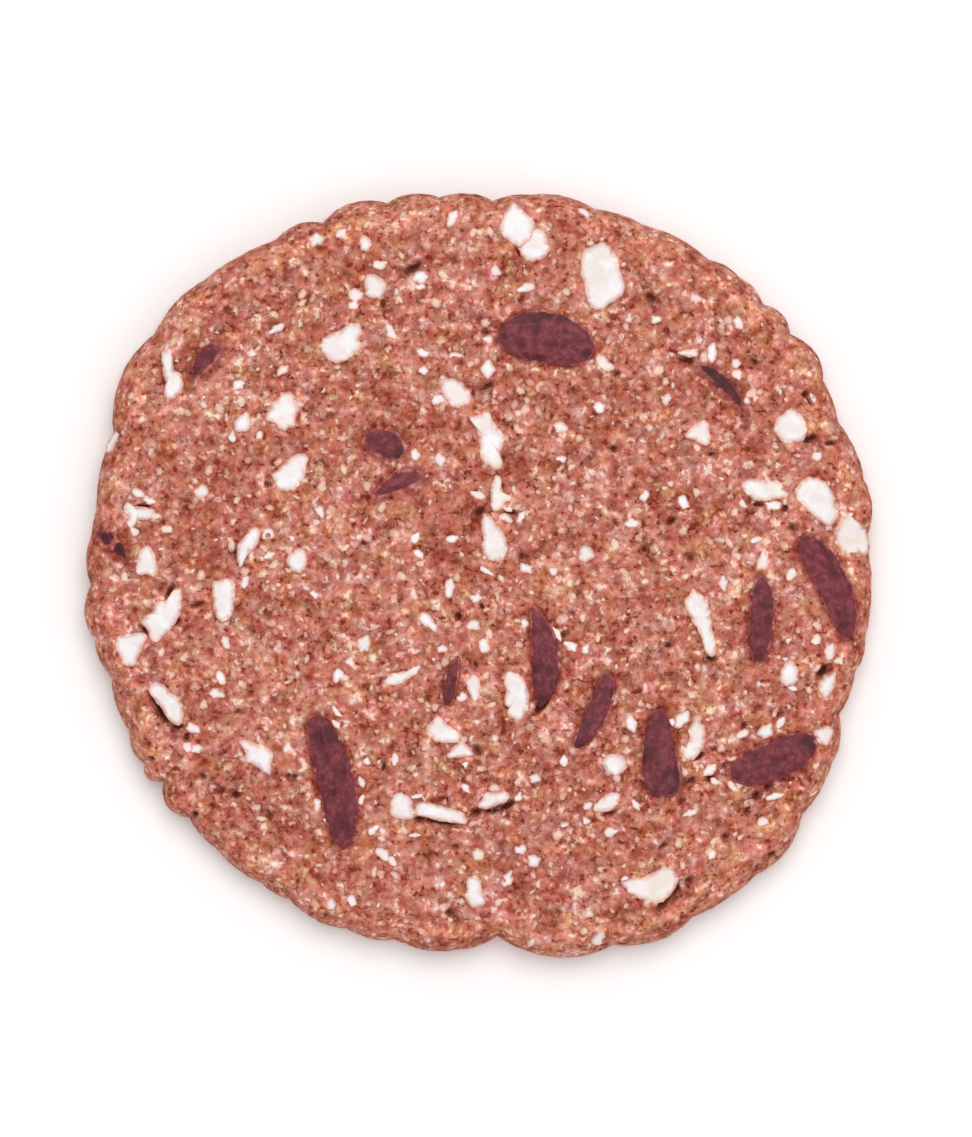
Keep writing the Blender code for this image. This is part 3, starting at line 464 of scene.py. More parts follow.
def perPoint(rings, poles):
    # a mask given as (piece, ring, place around) and (piece, pole), in closedRings' order of points
    return np.concatenate((rings.reshape(len(rings), -1), poles), axis=1).ravel()


class Wire:
    # a socket that takes part in Python sums: each operator adds one Math node
    def __init__(self, paint, socket):
        self.paint = paint
        self.socket = socket

    def __add__(self, other):
        return self.paint.sum("ADD", self, other)

    def __sub__(self, other):
        return self.paint.sum("SUBTRACT", self, other)

    def __rsub__(self, other):
        return self.paint.sum("SUBTRACT", other, self)

    def __mul__(self, other):
        return self.paint.sum("MULTIPLY", self, other)

    __radd__ = __add__
    __rmul__ = __mul__


class Paint:
    # one material and the nodes in it
    def __init__(self, name):
        self.material = bpy.data.materials.new(name)
        self.material.use_nodes = True
        self.tree = self.material.node_tree
        self.tree.nodes.clear()
        self.place = self.node("ShaderNodeTexCoord", output="Object")

    def node(self, kind, settings=None, inputs=None, output=0):
        made = self.tree.nodes.new(kind)
        for key, value in (settings or {}).items():
            if key == "stops":
                self.setStops(made.color_ramp, value)
            else:
                setattr(made, key, value)
        for key, value in (inputs or {}).items():
            if isinstance(value, Wire):
                self.tree.links.new(value.socket, made.inputs[key])
            else:
                made.inputs[key].default_value = value
        return Wire(self, made.outputs[output]) if made.outputs else None

    def setStops(self, ramp, stops):
        while len(ramp.elements) < len(stops):
            ramp.elements.new(1)
        for element, (position, colour) in zip(ramp.elements, stops):
            element.position = position
            element.color = (*colour, 1)

    def sum(self, operation, first, second):
        return self.node("ShaderNodeMath", {"operation": operation}, {0: first, 1: second})

    def mask(self, name):  # one of the mesh's own attributes
        return self.node("ShaderNodeAttribute", {"attribute_name": name}, output="Fac")

    def shifted(self, seed):  # the place, far enough away for another part of a noise
        away = (seed * 0.37,) * 3
        return self.node("ShaderNodeVectorMath", {"operation": "ADD"}, {0: self.place, 1: away})

    def noise(self, size, detail=2.0, rough=0.5, seed=0.0, twist=0.0, output="Fac"):
        # size in millimetres, result about 0.5
        return self.node("ShaderNodeTexNoise", None,
                         {"Vector": self.shifted(seed), "Scale": 1 / (size * mm), "Detail": detail,
                          "Roughness": rough, "Distortion": twist}, output)

    def uneven(self, size, seed, share):  # places and scale for cells whose borders wander
        push = self.noise(size * 0.6, 1, seed=seed, output="Color")
        place = self.node("ShaderNodeVectorMath", {"operation": "MULTIPLY_ADD"},
                          {0: push, 1: (size * mm * share,) * 3, 2: self.shifted(seed)})
        return {"Vector": place, "Scale": 1 / (size * mm)}

    def grains(self, size, seed, share, soft):
        # uneven grains: how far in from its border a place is, from 0 to 1, and the grain's own number
        inputs = self.uneven(size, seed, share)
        edge = self.node("ShaderNodeTexVoronoi", {"feature": "DISTANCE_TO_EDGE"}, inputs, "Distance")
        colour = self.node("ShaderNodeTexVoronoi", None, inputs, "Color")
        return self.range(edge, 0, soft), self.node("ShaderNodeSeparateColor", None, {"Color": colour})

    def dots(self, size, seed, share, low, high):
        # uneven dots: 1 in their middle to 0 at the higher distance from it, and the dot's own number
        away = self.node("ShaderNodeTexVoronoi", None, self.uneven(size, seed, share), "Distance")
        colour = Wire(self, away.socket.node.outputs["Color"])
        number = self.node("ShaderNodeSeparateColor", None, {"Color": colour})
        return 1 - self.range(away, low, high), number

    def range(self, value, low, high):  # 0 below low, 1 above high, smooth in between
        return self.node("ShaderNodeMapRange", {"interpolation_type": "SMOOTHSTEP"},
                         {"Value": value, "From Min": low, "From Max": high})

    def mix(self, factor, first, second, blend="MIX"):  # colours
        def asColour(value):
            return value if isinstance(value, Wire) else (*value, 1)
        return self.node("ShaderNodeMix", {"data_type": "RGBA", "blend_type": blend},
                         {0: factor, 6: asColour(first), 7: asColour(second)}, output=2)

    def ramp(self, value, stops):  # colours at values from 0 to 1
        return self.node("ShaderNodeValToRGB", {"stops": stops}, {"Fac": value})

    def bump(self, height, depth, strength=1.0):  # depth in millimetres for a height of 1
        return self.node("ShaderNodeBump", None,
                         {"Height": height, "Distance": depth * mm, "Strength": strength}, output="Normal")

    def finish(self, **sockets):  # the Principled shader and the output
        inputs = {key.replace("_", " "): value for key, value in sockets.items()}
        shader = self.node("ShaderNodeBsdfPrincipled", None, inputs)
        self.node("ShaderNodeOutputMaterial", None, {"Surface": shader})
        return self.material


# The dough

doughLook = {
    "cells": 272,  # across the top
    "gridEnd": 43.0,  # angle in the rim's section, in degrees, at which the top's grid becomes rings
    "sideRings": 9,
    "footRings": 5,
    "baseShares": (0.98, 0.94, 0.84, 0.66, 0.42, 0.18),
    "cragSize": 2.8,
    "cragHeight": 0.17,
    "lumpSize": 1.3,
    "lumpHeight": 0.17,
    "lumpDome": (0.05, 0.8),  # distances from a lump's middle, in lumps, between which its dome falls off
    "domeMean": 0.45,  # height of the domes on average, as a share
    "pitSize": 1.25,
    "pitDepth": 0.34,
    "pitNoise": (0.42, 0.72),  # of the finer noise: from where a pit starts, and where it is deepest
    "pitShadeShare": 0.2,  # share of a gap's painted shade that a pit has
    "smoothBand": (0.6, 4.5),  # the rim's band over which the crumb comes up to its full height
    "bandRelief": 0.45,  # share of it that is left at the rim
    "clearing": 0.7,  # how deep the dough lies under a nut or a raisin
    "calm": 0.35,  # share of the relief that is left at the edge of a nut or a raisin
    "nutCalm": (0.95, 1.5),  # the band over which it comes up again, in half lengths from a nut's middle
    "nutSink": (0.4, 0.8),  # and the band over which the dough sinks under the nut
    "raisinCalm": (0, 0.8),  # the same bands at a raisin, in millimetres from its outline
    "raisinSink": (-0.7, -0.05),
    "filmedSink": (-0.7, -0.3),
    "raisinStain": (-0.1, 0.9),  # the band over which a raisin's juice fades
    "filmedStain": (-0.1, 1.3),
    "gapEdge": 0.35,  # how much wider and longer than its black core a gap's broken edge is
    "gapWall": (0.35, 1.1),  # the band over which a gap's wall rises, in half lengths from its middle
    "baseRelief": 0.22,
    "tones": (
        (0.04, (0.197, 0.028, 0.014)),
        (0.25, (0.373, 0.094, 0.058)),
        (0.40, (0.480, 0.155, 0.106)),
        (0.54, (0.575, 0.222, 0.163)),
        (0.70, (0.712, 0.330, 0.254)),
        (0.85, (0.835, 0.472, 0.388)),
        (1.00, (0.950, 0.670, 0.580)),
    ),
    "yellow": (1.0, 1.07, 0.76),
    "pink": (0.98, 0.91, 1.14),
    "ruddy": (1.05, 0.92, 0.90),
    "dull": (0.94, 1.06, 1.07),
    "rimPaintedLight": (1.17, 1.20, 1.17),  # painted light: the band on the rim's rounding, which slopes away from the light overhead, is multiplied by this
    # painted shade of the open gaps, the pits and the base's hollows
    "gap": (0.10, 0.014, 0.007),
    "stain": (0.58, 0.34, 0.36),  # that a raisin's juice multiplies the crumb's colour by
}

filmed = (5, 6, 10, 11, 13)  # the raisins that a film of dough partly covers, counted from 0


def ovalDistance(x, y, row):
    # distance from a piece's middle, in half lengths along it and half widths across it
    turn = math.radians(row[4])
    along = (x - row[0]) * math.cos(turn) + (y - row[1]) * math.sin(turn)
    across = (y - row[1]) * math.cos(turn) - (x - row[0]) * math.sin(turn)
    return np.hypot(along / (row[2] / 2), across / (row[3] / 2))


def bluntness(number, share):
    # power of a raisin's outline along its length, where share runs from -1 at its near end to 1
    near = raisinLook["bluntStart"].get(number, raisinLook["ends"])
    return np.where(share < 0, near, raisinLook["ends"])


def raisinDistance(x, y, number):
    # distance in millimetres from a raisin's outline, and below 0 inside it: by how much the formula of
    # the outline misses 1 at that place, over how steeply it rises there
    row, flattest = raisinRows[number], 0.3
    turn = math.radians(row[4])
    share = ((x - row[0]) * math.cos(turn) + (y - row[1]) * math.sin(turn)) / (row[2] / 2)
    half = row[3] / 2 * (1 + row[6] * np.clip(share, -1, 1))
    middle = row[5] * (1 - 2 * share * share)
    across = np.abs((y - row[1]) * math.cos(turn) - (x - row[0]) * math.sin(turn) - middle) / half
    blunt, power = bluntness(number, share), 1 / row[7]
    miss = np.abs(share) ** blunt + across ** power - 1
    alongSlope = blunt * np.abs(share) ** (blunt - 1) / (row[2] / 2)
    acrossSlope = power * across ** (power - 1) / half
    return miss / np.maximum(np.hypot(alongSlope, acrossSlope), flattest)


def crumb(points, inset):
    # how far the crumb stands out, and its masks. The height is broad crags plus a dome over each
    # lump, less pits where a finer noise is high and the open gaps; it is lower along the rim and
    # beside the nuts and raisins, and sinks under them
    look = doughLook
    inner = smoothStep(inset, *look["smoothBand"])
    strength = look["bandRelief"] + (1 - look["bandRelief"]) * inner
    crags = valueNoise(points, look["cragSize"], 21) + 0.5 * valueNoise(points, look["cragSize"] / 2, 22)
    near, _, _ = cellNoise(points, look["lumpSize"], 23)
    dome = 1 - smoothStep(near, *look["lumpDome"])
    pit = smoothStep(valueNoise(points, look["pitSize"], 24), *look["pitNoise"]) * inner
    push = look["cragHeight"] * crags + look["lumpHeight"] * (dome - look["domeMean"])
    push -= look["pitDepth"] * pit
    push *= strength
    x, y = points[..., 0], points[..., 1]
    stain = np.zeros_like(x)
    topSide, faraway = points[..., 2] > form["waist"], 9
    calm, stirred = look["calm"], 1 - look["calm"]
    for row in nutRows + allChips:
        distance = np.where(topSide, ovalDistance(x, y, row), faraway)
        push *= calm + stirred * smoothStep(distance, *look["nutCalm"])
        push -= look["clearing"] * (1 - smoothStep(distance, *look["nutSink"]))
    for number in range(len(raisinRows)):
        kind = "filmed" if number in filmed else "raisin"
        distance = np.where(topSide, raisinDistance(x, y, number), faraway)
        push *= calm + stirred * smoothStep(distance, *look["raisinCalm"])
        push -= look["clearing"] * (1 - smoothStep(distance, *look[kind + "Sink"]))
        stain = np.maximum(stain, 1 - smoothStep(distance, *look[kind + "Stain"]))
    # painted shade: the gap mask darkens the pits a little and the open gaps fully, for the shade in these
    # hollows
    gap = look["pitShadeShare"] * pit
    for row in gapRows:
        broken = row[:2] + (row[2] + look["gapEdge"], row[3] + look["gapEdge"]) + row[4:]
        distance = np.where(topSide, ovalDistance(x, y, broken), faraway)
        hollow = 1 - smoothStep(distance, *look["gapWall"])
        push -= row[5] * hollow
        gap = np.maximum(gap, hollow)
    return push, {"gap": gap, "stain": stain, "inner": inner}


def discPlace(across, along):
    # concentric map of the square from -1 to 1 to the unit disc: the larger coordinate is the radius,
    # and the other one's share of it turns the point through an eighth of a circle
    wide = np.abs(across) > np.abs(along)
    radius = np.where(wide, across, along)
    safe = np.where(radius == 0, 1, radius)
    angle = np.where(wide, math.pi / 4 * along / safe, math.pi / 2 - math.pi / 4 * across / safe)
    return np.abs(radius), np.where(radius < 0, angle + math.pi, angle)


def outwards(angle, section):
    # direction that the rim's section faces at that angle round the cookie
    return np.stack((np.cos(angle) * np.cos(section), np.sin(angle) * np.cos(section), np.sin(section)), -1)


def topSurface(x, y):
    # points of the upper surface with the crumb on them, the way the smooth surface faces, and the masks
    angle = np.arctan2(y, x)
    inset = rimRadius(angle) - np.hypot(x, y)
    left = np.clip(1 - inset / form["shoulder"], 0, 1)
    facing = outwards(angle, np.arccos(left ** (form["roundness"] / 2)))
    points = np.stack((x, y, smoothTop(x, y)), axis=-1)
    push, masks = crumb(points, inset)
    return points + facing * push[..., None], facing, masks


def doughPiece(material):
    # the cookie's skin: a concentric grid over the top, rings down the rim by the superellipse and
    # the quarter ellipse of the foot, and rings over the base that close on a pole
    look = doughLook
    line = np.linspace(-1, 1, look["cells"] + 1)
    across, along = np.meshgrid(line, line)
    share, angle = discPlace(across.ravel(), along.ravel())
    start, curve = math.radians(look["gridEnd"]), 2 / form["roundness"]
    radius = share * (rimRadius(angle) - form["shoulder"] * (1 - math.cos(start) ** curve))
    top, _, topMasks = topSurface(radius * np.cos(angle), radius * np.sin(angle))

    count, width = look["cells"], look["cells"] + 1
    steps = np.arange(count)
    edges = (steps, steps * width + count, width * width - 1 - steps, (count - steps) * width)
    border = np.concatenate(edges)
    around = angle[border][None, :]
    rim = rimRadius(around)
    section = np.linspace(start, 0, look["sideRings"] + 1)[1:, None]
    inset = form["shoulder"] * (1 - np.cos(section) ** curve) + 0 * rim
    x, y = (rim - inset) * np.cos(around), (rim - inset) * np.sin(around)
    height = form["waist"] + (plateau(x, y, rim) - form["waist"]) * np.sin(section) ** curve
    side = np.stack((x, y, height), axis=-1)
    sidePush, sideMasks = crumb(side, inset)
    side += outwards(around + 0 * section, section + 0 * around) * sidePush[..., None]

    section = np.linspace(0, math.pi / 2, look["footRings"] + 1)[1:, None]
    radius = rim - form["foot"] * (1 - np.cos(section))
    foot = np.stack((radius * np.cos(around), radius * np.sin(around),
                     form["waist"] * (1 - np.sin(section)) + 0 * radius), axis=-1)
    footPush, footMasks = crumb(foot, 0 * radius)
    footPush *= np.cos(section)
    foot += outwards(around + 0 * section, -section + 0 * around) * footPush[..., None]

    radius = np.array(look["baseShares"])[:, None] * (rim - form["foot"])
    base = np.stack((radius * np.cos(around), radius * np.sin(around), 0 * radius), axis=-1)
    hollow = smoothStep(valueNoise(base, 2.6, 31) + 0.5 * valueNoise(base, 0.9, 32), 0.1, 1.0)
    base[..., 2] = look["baseRelief"] * hollow
    # painted shade: the base is darkened in its hollows
    baseMasks = {"gap": 0.4 * hollow, "stain": 0 * hollow, "inner": 0 * hollow}

    cells = (np.arange(count)[:, None] * width + np.arange(count)[None, :]).ravel()
    quads = [np.stack((cells, cells + 1, cells + 1 + width, cells + width), axis=-1)]
    upper, rings = border, np.concatenate((side, foot, base))
    places = np.arange(len(border))
    for ring in range(len(rings)):
        lower = len(top) + ring * len(border) + places
        quads.append(np.stack((upper, lower, np.roll(lower, -1), np.roll(upper, -1)), axis=-1))
        upper = lower
    pole = len(top) + len(rings) * len(border)
    triangles = np.stack((upper, np.full(len(border), pole), np.roll(upper, -1)), axis=-1)
    points = np.concatenate((top, rings.reshape(-1, 3), np.zeros((1, 3))))
    masks = {key: np.concatenate((topMasks[key], sideMasks[key].ravel(), footMasks[key].ravel(),
                                  baseMasks[key].ravel(), (0,))) for key in topMasks}
    return makePiece("dough", points, np.concatenate(quads), triangles, material, masks)


# The crumb's tones, which the dough, the grains and the smears on nuts and raisins share

toneLook = {
    "fineSize": 0.6,  # of the noises, the grains, the dots and the pits, in millimetres
    "middleSize": 1.4,
    "broadSize": 5.5,
    "grainSize": 0.9,
    "dotSize": 1.5,
    "pitSize": 0.6,
    "fine": 0.55,  # from here on, how much each of them counts in the tone
    "middle": 1.1,
    "broad": 0.55,
    "grain": 0.45,
    "dot": 0.44,
    "pit": 0.34,
    "mean": 0.47,  # the tone without them
}


def crumbTone(paint, share=1.0):
    # brightness of the crumb from 0 to 1, and its fine relief: noises of three sizes, small grains each
    # lighter than its border, larger pale dots that gather where the broad noise is high, and painted shade
    # of pits where a fine noise is low, with no relief under it
    look = toneLook
    fine = paint.noise(look["fineSize"], 1, seed=1) - 0.5
    middle = paint.noise(look["middleSize"], 1.5, seed=2) - 0.5
    broad = paint.noise(look["broadSize"], 2.5, 0.55, seed=3) - 0.5
    near, number = paint.grains(look["grainSize"], 4, 0.9, 0.42)
    small = near * (number + 0.1) - 0.2
    dot, number = paint.dots(look["dotSize"], 5, 0.8, 0.10, 0.52)
    pale = dot * paint.range(number + broad * 1.4, 0.35, 0.95) * share
    # painted shade: the pits are only darkened in colour
    pit = paint.range(paint.noise(look["pitSize"], 1, seed=6), 0.42, 0.26)
    tone = small * look["grain"] + pale * look["dot"] + middle * look["middle"] + fine * look["fine"]
    tone = tone + broad * look["broad"] - pit * look["pit"] + look["mean"]
    return tone, middle + pale * 0.3 + small * 0.3


def crumbColour(paint, tone):
    # from brown through terracotta to cream by the tone, in places more yellow, in others pinker, and
    # by another noise from ruddy to dull
    look = doughLook
    colour = paint.ramp(tone, look["tones"])
    hue = paint.noise(2.2, 2.5, 0.6, seed=7)
    colour = paint.mix(paint.range(hue, 0.50, 0.70) * 0.9, colour, look["yellow"], "MULTIPLY")
    colour = paint.mix(paint.range(hue, 0.48, 0.30) * 0.8, colour, look["pink"], "MULTIPLY")
    wander = paint.noise(1.8, 2.0, 0.6, seed=10)
    dull = paint.mix(paint.range(wander, 0.36, 0.64), look["ruddy"], look["dull"])
    return paint.mix(1.0, colour, dull, "MULTIPLY")


def doughMaterial():
    look = doughLook
    paint = Paint("bakedDough")
    gap, stain, inner = paint.mask("gap"), paint.mask("stain"), paint.mask("inner")
    tone, relief = crumbTone(paint, inner * 0.6 + 0.4)
    colour = crumbColour(paint, tone)
    colour = paint.mix((1 - inner) * 0.1, colour, look["yellow"], "MULTIPLY")
    # painted light: lightens the band on the rim's rounding, strongest halfway across it
    colour = paint.mix(inner * (1 - inner) * 4, colour, look["rimPaintedLight"], "MULTIPLY")
    soaked = paint.range(stain + (paint.noise(0.9, 2, seed=9) - 0.5) * 0.8, 0.15, 0.95)
    colour = paint.mix(soaked * 0.8, colour, look["stain"], "MULTIPLY")
    # painted shade in the open gaps, the pits and the base's hollows
    colour = paint.mix(gap, colour, look["gap"])
    rough = 0.72 + paint.noise(1.1, seed=8) * 0.25
    return paint.finish(Base_Color=colour, Roughness=rough, Specular_IOR_Level=0.15,
                        Normal=paint.bump(relief, 0.45, 1.0))


# Nut pieces

nutLook = {
    "around": 88,
    "chipAround": 28,
    "seed": 4300,  # of the first nut; each one after it takes the next
    "plainTone": 0.1,  # how creamy a nut is, but for those in the next line, counted from 0
    "creamy": {4: 0.7, 6: 0.9, 14: 0.6, 19: 0.4, 20: 0.4, 24: 0.6, 38: 1.0, 39: 0.5, 43: 0.4, 44: 0.9},
    "proud": 0.18,  # how far the flat face stands above the dough
    "chipProud": 0.14,
    "bitProud": 0.08,
    "growth": 0.19,  # of the outlines, whose edge is mostly crumb
    "snug": {6: 0.05, 12: 0.08, 16: 0.12, 27: 0.05, 32: 0.1, 33: 0.1},  # growth of those beside a gap
    "depth": 0.5,  # in the dough, as a share of its width
    "edge": 0.60,  # how far in from the outline the crumb is smeared
    "sharpness": 10,  # of the seeded corners: the power that joins the sides
    "wander": 0.35,  # of a seeded corner from its even place, as a share of the way to the next
    "reach": (0.84, 1.12),  # of a seeded corner, in half lengths
    # from the flat face down to the foot: share of the outline, height, and how much of the depth besides
    "profile": (
        (0.3, 0, 0), (0.5, 0, 0), (0.66, 0, 0), (0.78, 0, 0), (0.87, 0, 0), (0.94, -0.02, 0),
        (0.98, -0.06, 0), (1.0, -0.12, 0), (1.0, -0.3, 0), (0.99, -0.6, 0),
        (0.88, -0.6, -0.4), (0.72, -0.6, -0.75), (0.5, -0.6, -1),
    ),
    "faceEdge": -0.15,  # height over the flat face below which a nut shows only its side
    "bites": ((1.1, 1), (0.5, 1), (0.28, 0.6)),  # in the outline: their sizes and shares
    "faceSize": 1.3,  # of the low relief on the flat face
    "nibble": 0.08,  # how uneven the outline is
    "chipNibble": 0.20,
    "bitNibble": 0.26,
    "faceRelief": 0.05,
    "ivory": (0.79, 0.70, 0.67),
    "white": (0.86, 0.83, 0.85),
    "cream": (0.80, 0.66, 0.50),
}


def outlineRadius(angles, corners, turn):
    # radius of a drawn outline at each angle from the piece's length: where the ray crosses the line
    # through two neighbouring corners, if it passes between them; the farthest crossing counts
    corners = np.array(corners, float).reshape(-1, 2) / 10
    sides = np.roll(corners, -1, axis=0) - corners
    heading = angles[:, None] + math.radians(turn)
    across, up = np.cos(heading), np.sin(heading)
    facing = across * sides[:, 1] - up * sides[:, 0]
    facing = np.where(np.abs(facing) < 1e-9, 1e-9, facing)
    radius = (corners[:, 0] * sides[:, 1] - corners[:, 1] * sides[:, 0]) / facing
    share = (corners[:, 0] * up - corners[:, 1] * across) / facing
    hit = (share > -1e-6) & (share < 1 + 1e-6) & (radius > 0)
    radius = np.where(hit, radius, 0).max(axis=1)
    return (np.roll(radius, 1) + 4 * radius + np.roll(radius, -1)) / 6


def choppedRadius(angles, length, width, seed, corners):
    # radius of a seeded outline at each angle: the convex hull of seeded corners, whose sides are
    # joined by a power mean, so that its corners are slightly worn
    rng = random.Random(seed)
    hull = []
    for corner in range(corners):
        angle = 2 * math.pi * (corner + rng.uniform(-nutLook["wander"], nutLook["wander"])) / corners
        reach = rng.uniform(*nutLook["reach"])
        hull.append(Vector((length / 2 * reach * math.cos(angle), width / 2 * reach * math.sin(angle))))
    hollow = True
    while hollow:
        hollow = [i for i in range(len(hull))
                  if (hull[i] - hull[i - 1]).cross(hull[(i + 1) % len(hull)] - hull[i]) <= 0]
        if hollow:
            del hull[hollow[0]]
    total = 0
    for here, there in zip(hull, hull[1:] + hull[:1]):
        normal = Vector((there.y - here.y, here.x - there.x)).normalized()
        facing = np.cos(angles) * normal.x + np.sin(angles) * normal.y
        total = total + np.maximum(facing / normal.dot(here), 0) ** nutLook["sharpness"]
    return total ** (-1 / nutLook["sharpness"])


def nutSkins(name, rows, outlines, material):
    # nut pieces as one mesh: each outline scaled by a profile that runs out over the flat face, over the
    # worn edge and down the side to the foot, with small bites in the outline and a low relief
    look = nutLook
    around = len(outlines[0])
    angles = np.linspace(0, 2 * math.pi, around, endpoint=False)
    lean = np.stack((np.cos(angles), np.sin(angles)), axis=-1)
    share, level, deep = np.array(look["profile"]).T[..., None]
    stacks, ends, sides, tones = [], [], [], []
    for (x, y, length, width, turn, seed, proud, nibble, tone), radius in zip(rows, outlines):
        wrapped = np.concatenate((radius[-1:], radius, radius[:1]))
        steady = radius / np.hypot(radius, np.gradient(wrapped, angles[1])[1:-1])
        middle, axes = seat(x, y, length, width, turn)
        height = level + deep * look["depth"] * width + proud
        flat = lean * radius[:, None] + (x, y)
        flat = np.concatenate((flat, np.zeros((around, 1))), axis=1)
        bites = sum(weight * valueNoise(flat, size, seed + step)
                    for step, (size, weight) in enumerate(look["bites"]))
        bitten = radius + bites * nibble * min(1, width / 2)
        spread = (share * bitten)[..., None] * lean
        ring = np.concatenate((spread, (height + 0 * radius)[..., None]), axis=-1)
        relief = valueNoise(ring * (1, 1, 0) + (x, y, 0), look["faceSize"], seed + 3)
        ring[..., 2] += look["faceRelief"] * relief * min(1, width / 2)
        stacks.append(middle + ring @ axes)
        ends.append(stacks[-1][[0, -1]].mean(axis=1))
        inside = (1 - share) * bitten * steady / min(look["edge"], 0.1 + 0.27 * width)
        sides.append(np.where(height < proud + look["faceEdge"], 1, 1 - np.clip(inside, 0, 1)))
        tones.append(tone)
    points, quads, triangles = closedRings(np.array(stacks), np.array(ends))
    sides, tones = np.array(sides), np.array(tones)
    masks = {"side": perPoint(sides, np.tile((0.0, 1.0), (len(rows), 1))),
             "tone": perPoint(tones[:, None, None] + 0 * sides, np.repeat(tones[:, None], 2, axis=1))}
    return makePiece(name, points, quads, triangles, material, masks)


def nutPieces(material):
    look = nutLook
    angles = np.linspace(0, 2 * math.pi, look["around"], endpoint=False)
    outlines = [outlineRadius(angles, corners, row[4]) + look["snug"].get(number, look["growth"])
                for number, (row, corners) in enumerate(zip(nutRows, nutOutlines))]
    tones = [look["creamy"].get(number, look["plainTone"]) for number in range(len(nutRows))]
    rows = [row + (look["seed"] + number, look["proud"], look["nibble"], tones[number])
            for number, row in enumerate(nutRows)]
    return nutSkins("nutPieces", rows, outlines, material)


def nutChips(material):
    look = nutLook
    angles = np.linspace(0, 2 * math.pi, look["chipAround"], endpoint=False)
    outlines, rows = [], []
    for kind, small in (("chip", allChips), ("bit", bitRows)):
        for number, row in enumerate(small):
            seed = chipLook["seed"] + number
            outline = choppedRadius(angles, row[2], row[3], seed, chipLook["corners"])
            outlines.append(outline + look["growth"])
            tone = (seed * 0.37) % 0.7
            rows.append(row + (seed, look[kind + "Proud"], look[kind + "Nibble"], tone))
    return nutSkins("nutChips", rows, outlines, material)


def nutMaterial():
    # pinkish white that turns ivory in places and creamy towards some edges, with crumb smeared over the
    # outermost edge and down the side
    look = nutLook
    paint = Paint("choppedNut")
    side, own = paint.mask("side"), paint.mask("tone")
    patch = paint.noise(1.9, 3, 0.6, twist=0.5)
    colour = paint.mix(paint.range(patch, 0.34, 0.66), look["white"], look["ivory"])
    edge = side * 0.5 + (paint.noise(2.2, 2, seed=3) - 0.5) * 2.4 + own * 0.7
    colour = paint.mix(paint.range(edge, 0.2, 1.1) * 0.6, colour, look["cream"])
    tone, _ = crumbTone(paint)
    smear = side + side * (paint.noise(0.7, 3, 0.6, seed=4) - 0.5 + own * 0.1) * 1.6
    colour = paint.mix(paint.node("ShaderNodeClamp", None, {"Value": smear * 0.9, "Max": 0.92}), colour,
                       crumbColour(paint, tone + 0.12))
    height = paint.noise(0.7, 3, 0.6)
    return paint.finish(Base_Color=colour, Roughness=0.55, Specular_IOR_Level=0.3,
                        Normal=paint.bump(height, 0.06, 0.6))


# Raisins

raisinLook = {
    "rings": 80,
    "around": 88,
    "crown": 0.4,  # above the dough
    "filmedCrown": 0.22,
    "belly": 0.62,  # depth in the dough, as a share of the width
    "nibble": 0.09,  # how uneven the outline is
    "wrinkle": 0.07,
    "wrinkleSize": 0.8,
    "wrinkleStretch": 2.6,  # how much longer than wide a wrinkle is
    "ends": 2.4,  # power of the outline towards the ends: the higher, the blunter
    "bluntStart": {3: 4.5},  # the same at the near end of single raisins, counted from 0
    "steepness": 0.5,  # power by which the crown comes up from the side
    "filmedSteepness": 1.2,
    "crumbReach": (-0.6, 0.05),  # the band over which the crumb laps over the edge
    "filmedReach": (-0.9, 0.05),
    "bridges": {13: 0.22},  # dough across the middle: half its width, as a share of half the length
    # the film of dough over a raisin, counted from 0: how much of it, and how much more at the far end
    "films": {5: (0.15, -0.15), 6: (0.42, 0.0), 7: (0.0, 0.55), 8: (0.05, 0.0), 9: (0.0, 0.25),
              10: (0.05, 0.10), 11: (0.22, 0.0), 12: (0.15, 0.0), 13: (0.05, 0.0)},
    # painted shadow in pits, nearly black: middle x and y, and reach
    "shadedPits": (
        (30.9, -6.6, 0.6), (36.8, -18.2, 1.5), (6.9, -13.8, 1.0), (-8.9, 13.5, 1.0), (-29.2, 23.9, 0.8),
        (25.5, 22.6, 1.3), (26.8, 21.4, 1.3), (-41.6, 4.3, 0.8), (-39.7, 3.2, 0.9), (19.8, -20.8, 0.4),
        (40.6, -5.4, 0.9), (12.0, 24.6, 0.9), (21.6, -24.0, 0.8),
    ),
    "skin": (0.136, 0.016, 0.023),
    "bloom": (0.232, 0.043, 0.062),
    # painted shade in the folds, and also darker patches at random
    "deep": (0.064, 0.007, 0.010),
    "pitShadow": (0.035, 0.004, 0.006),
}


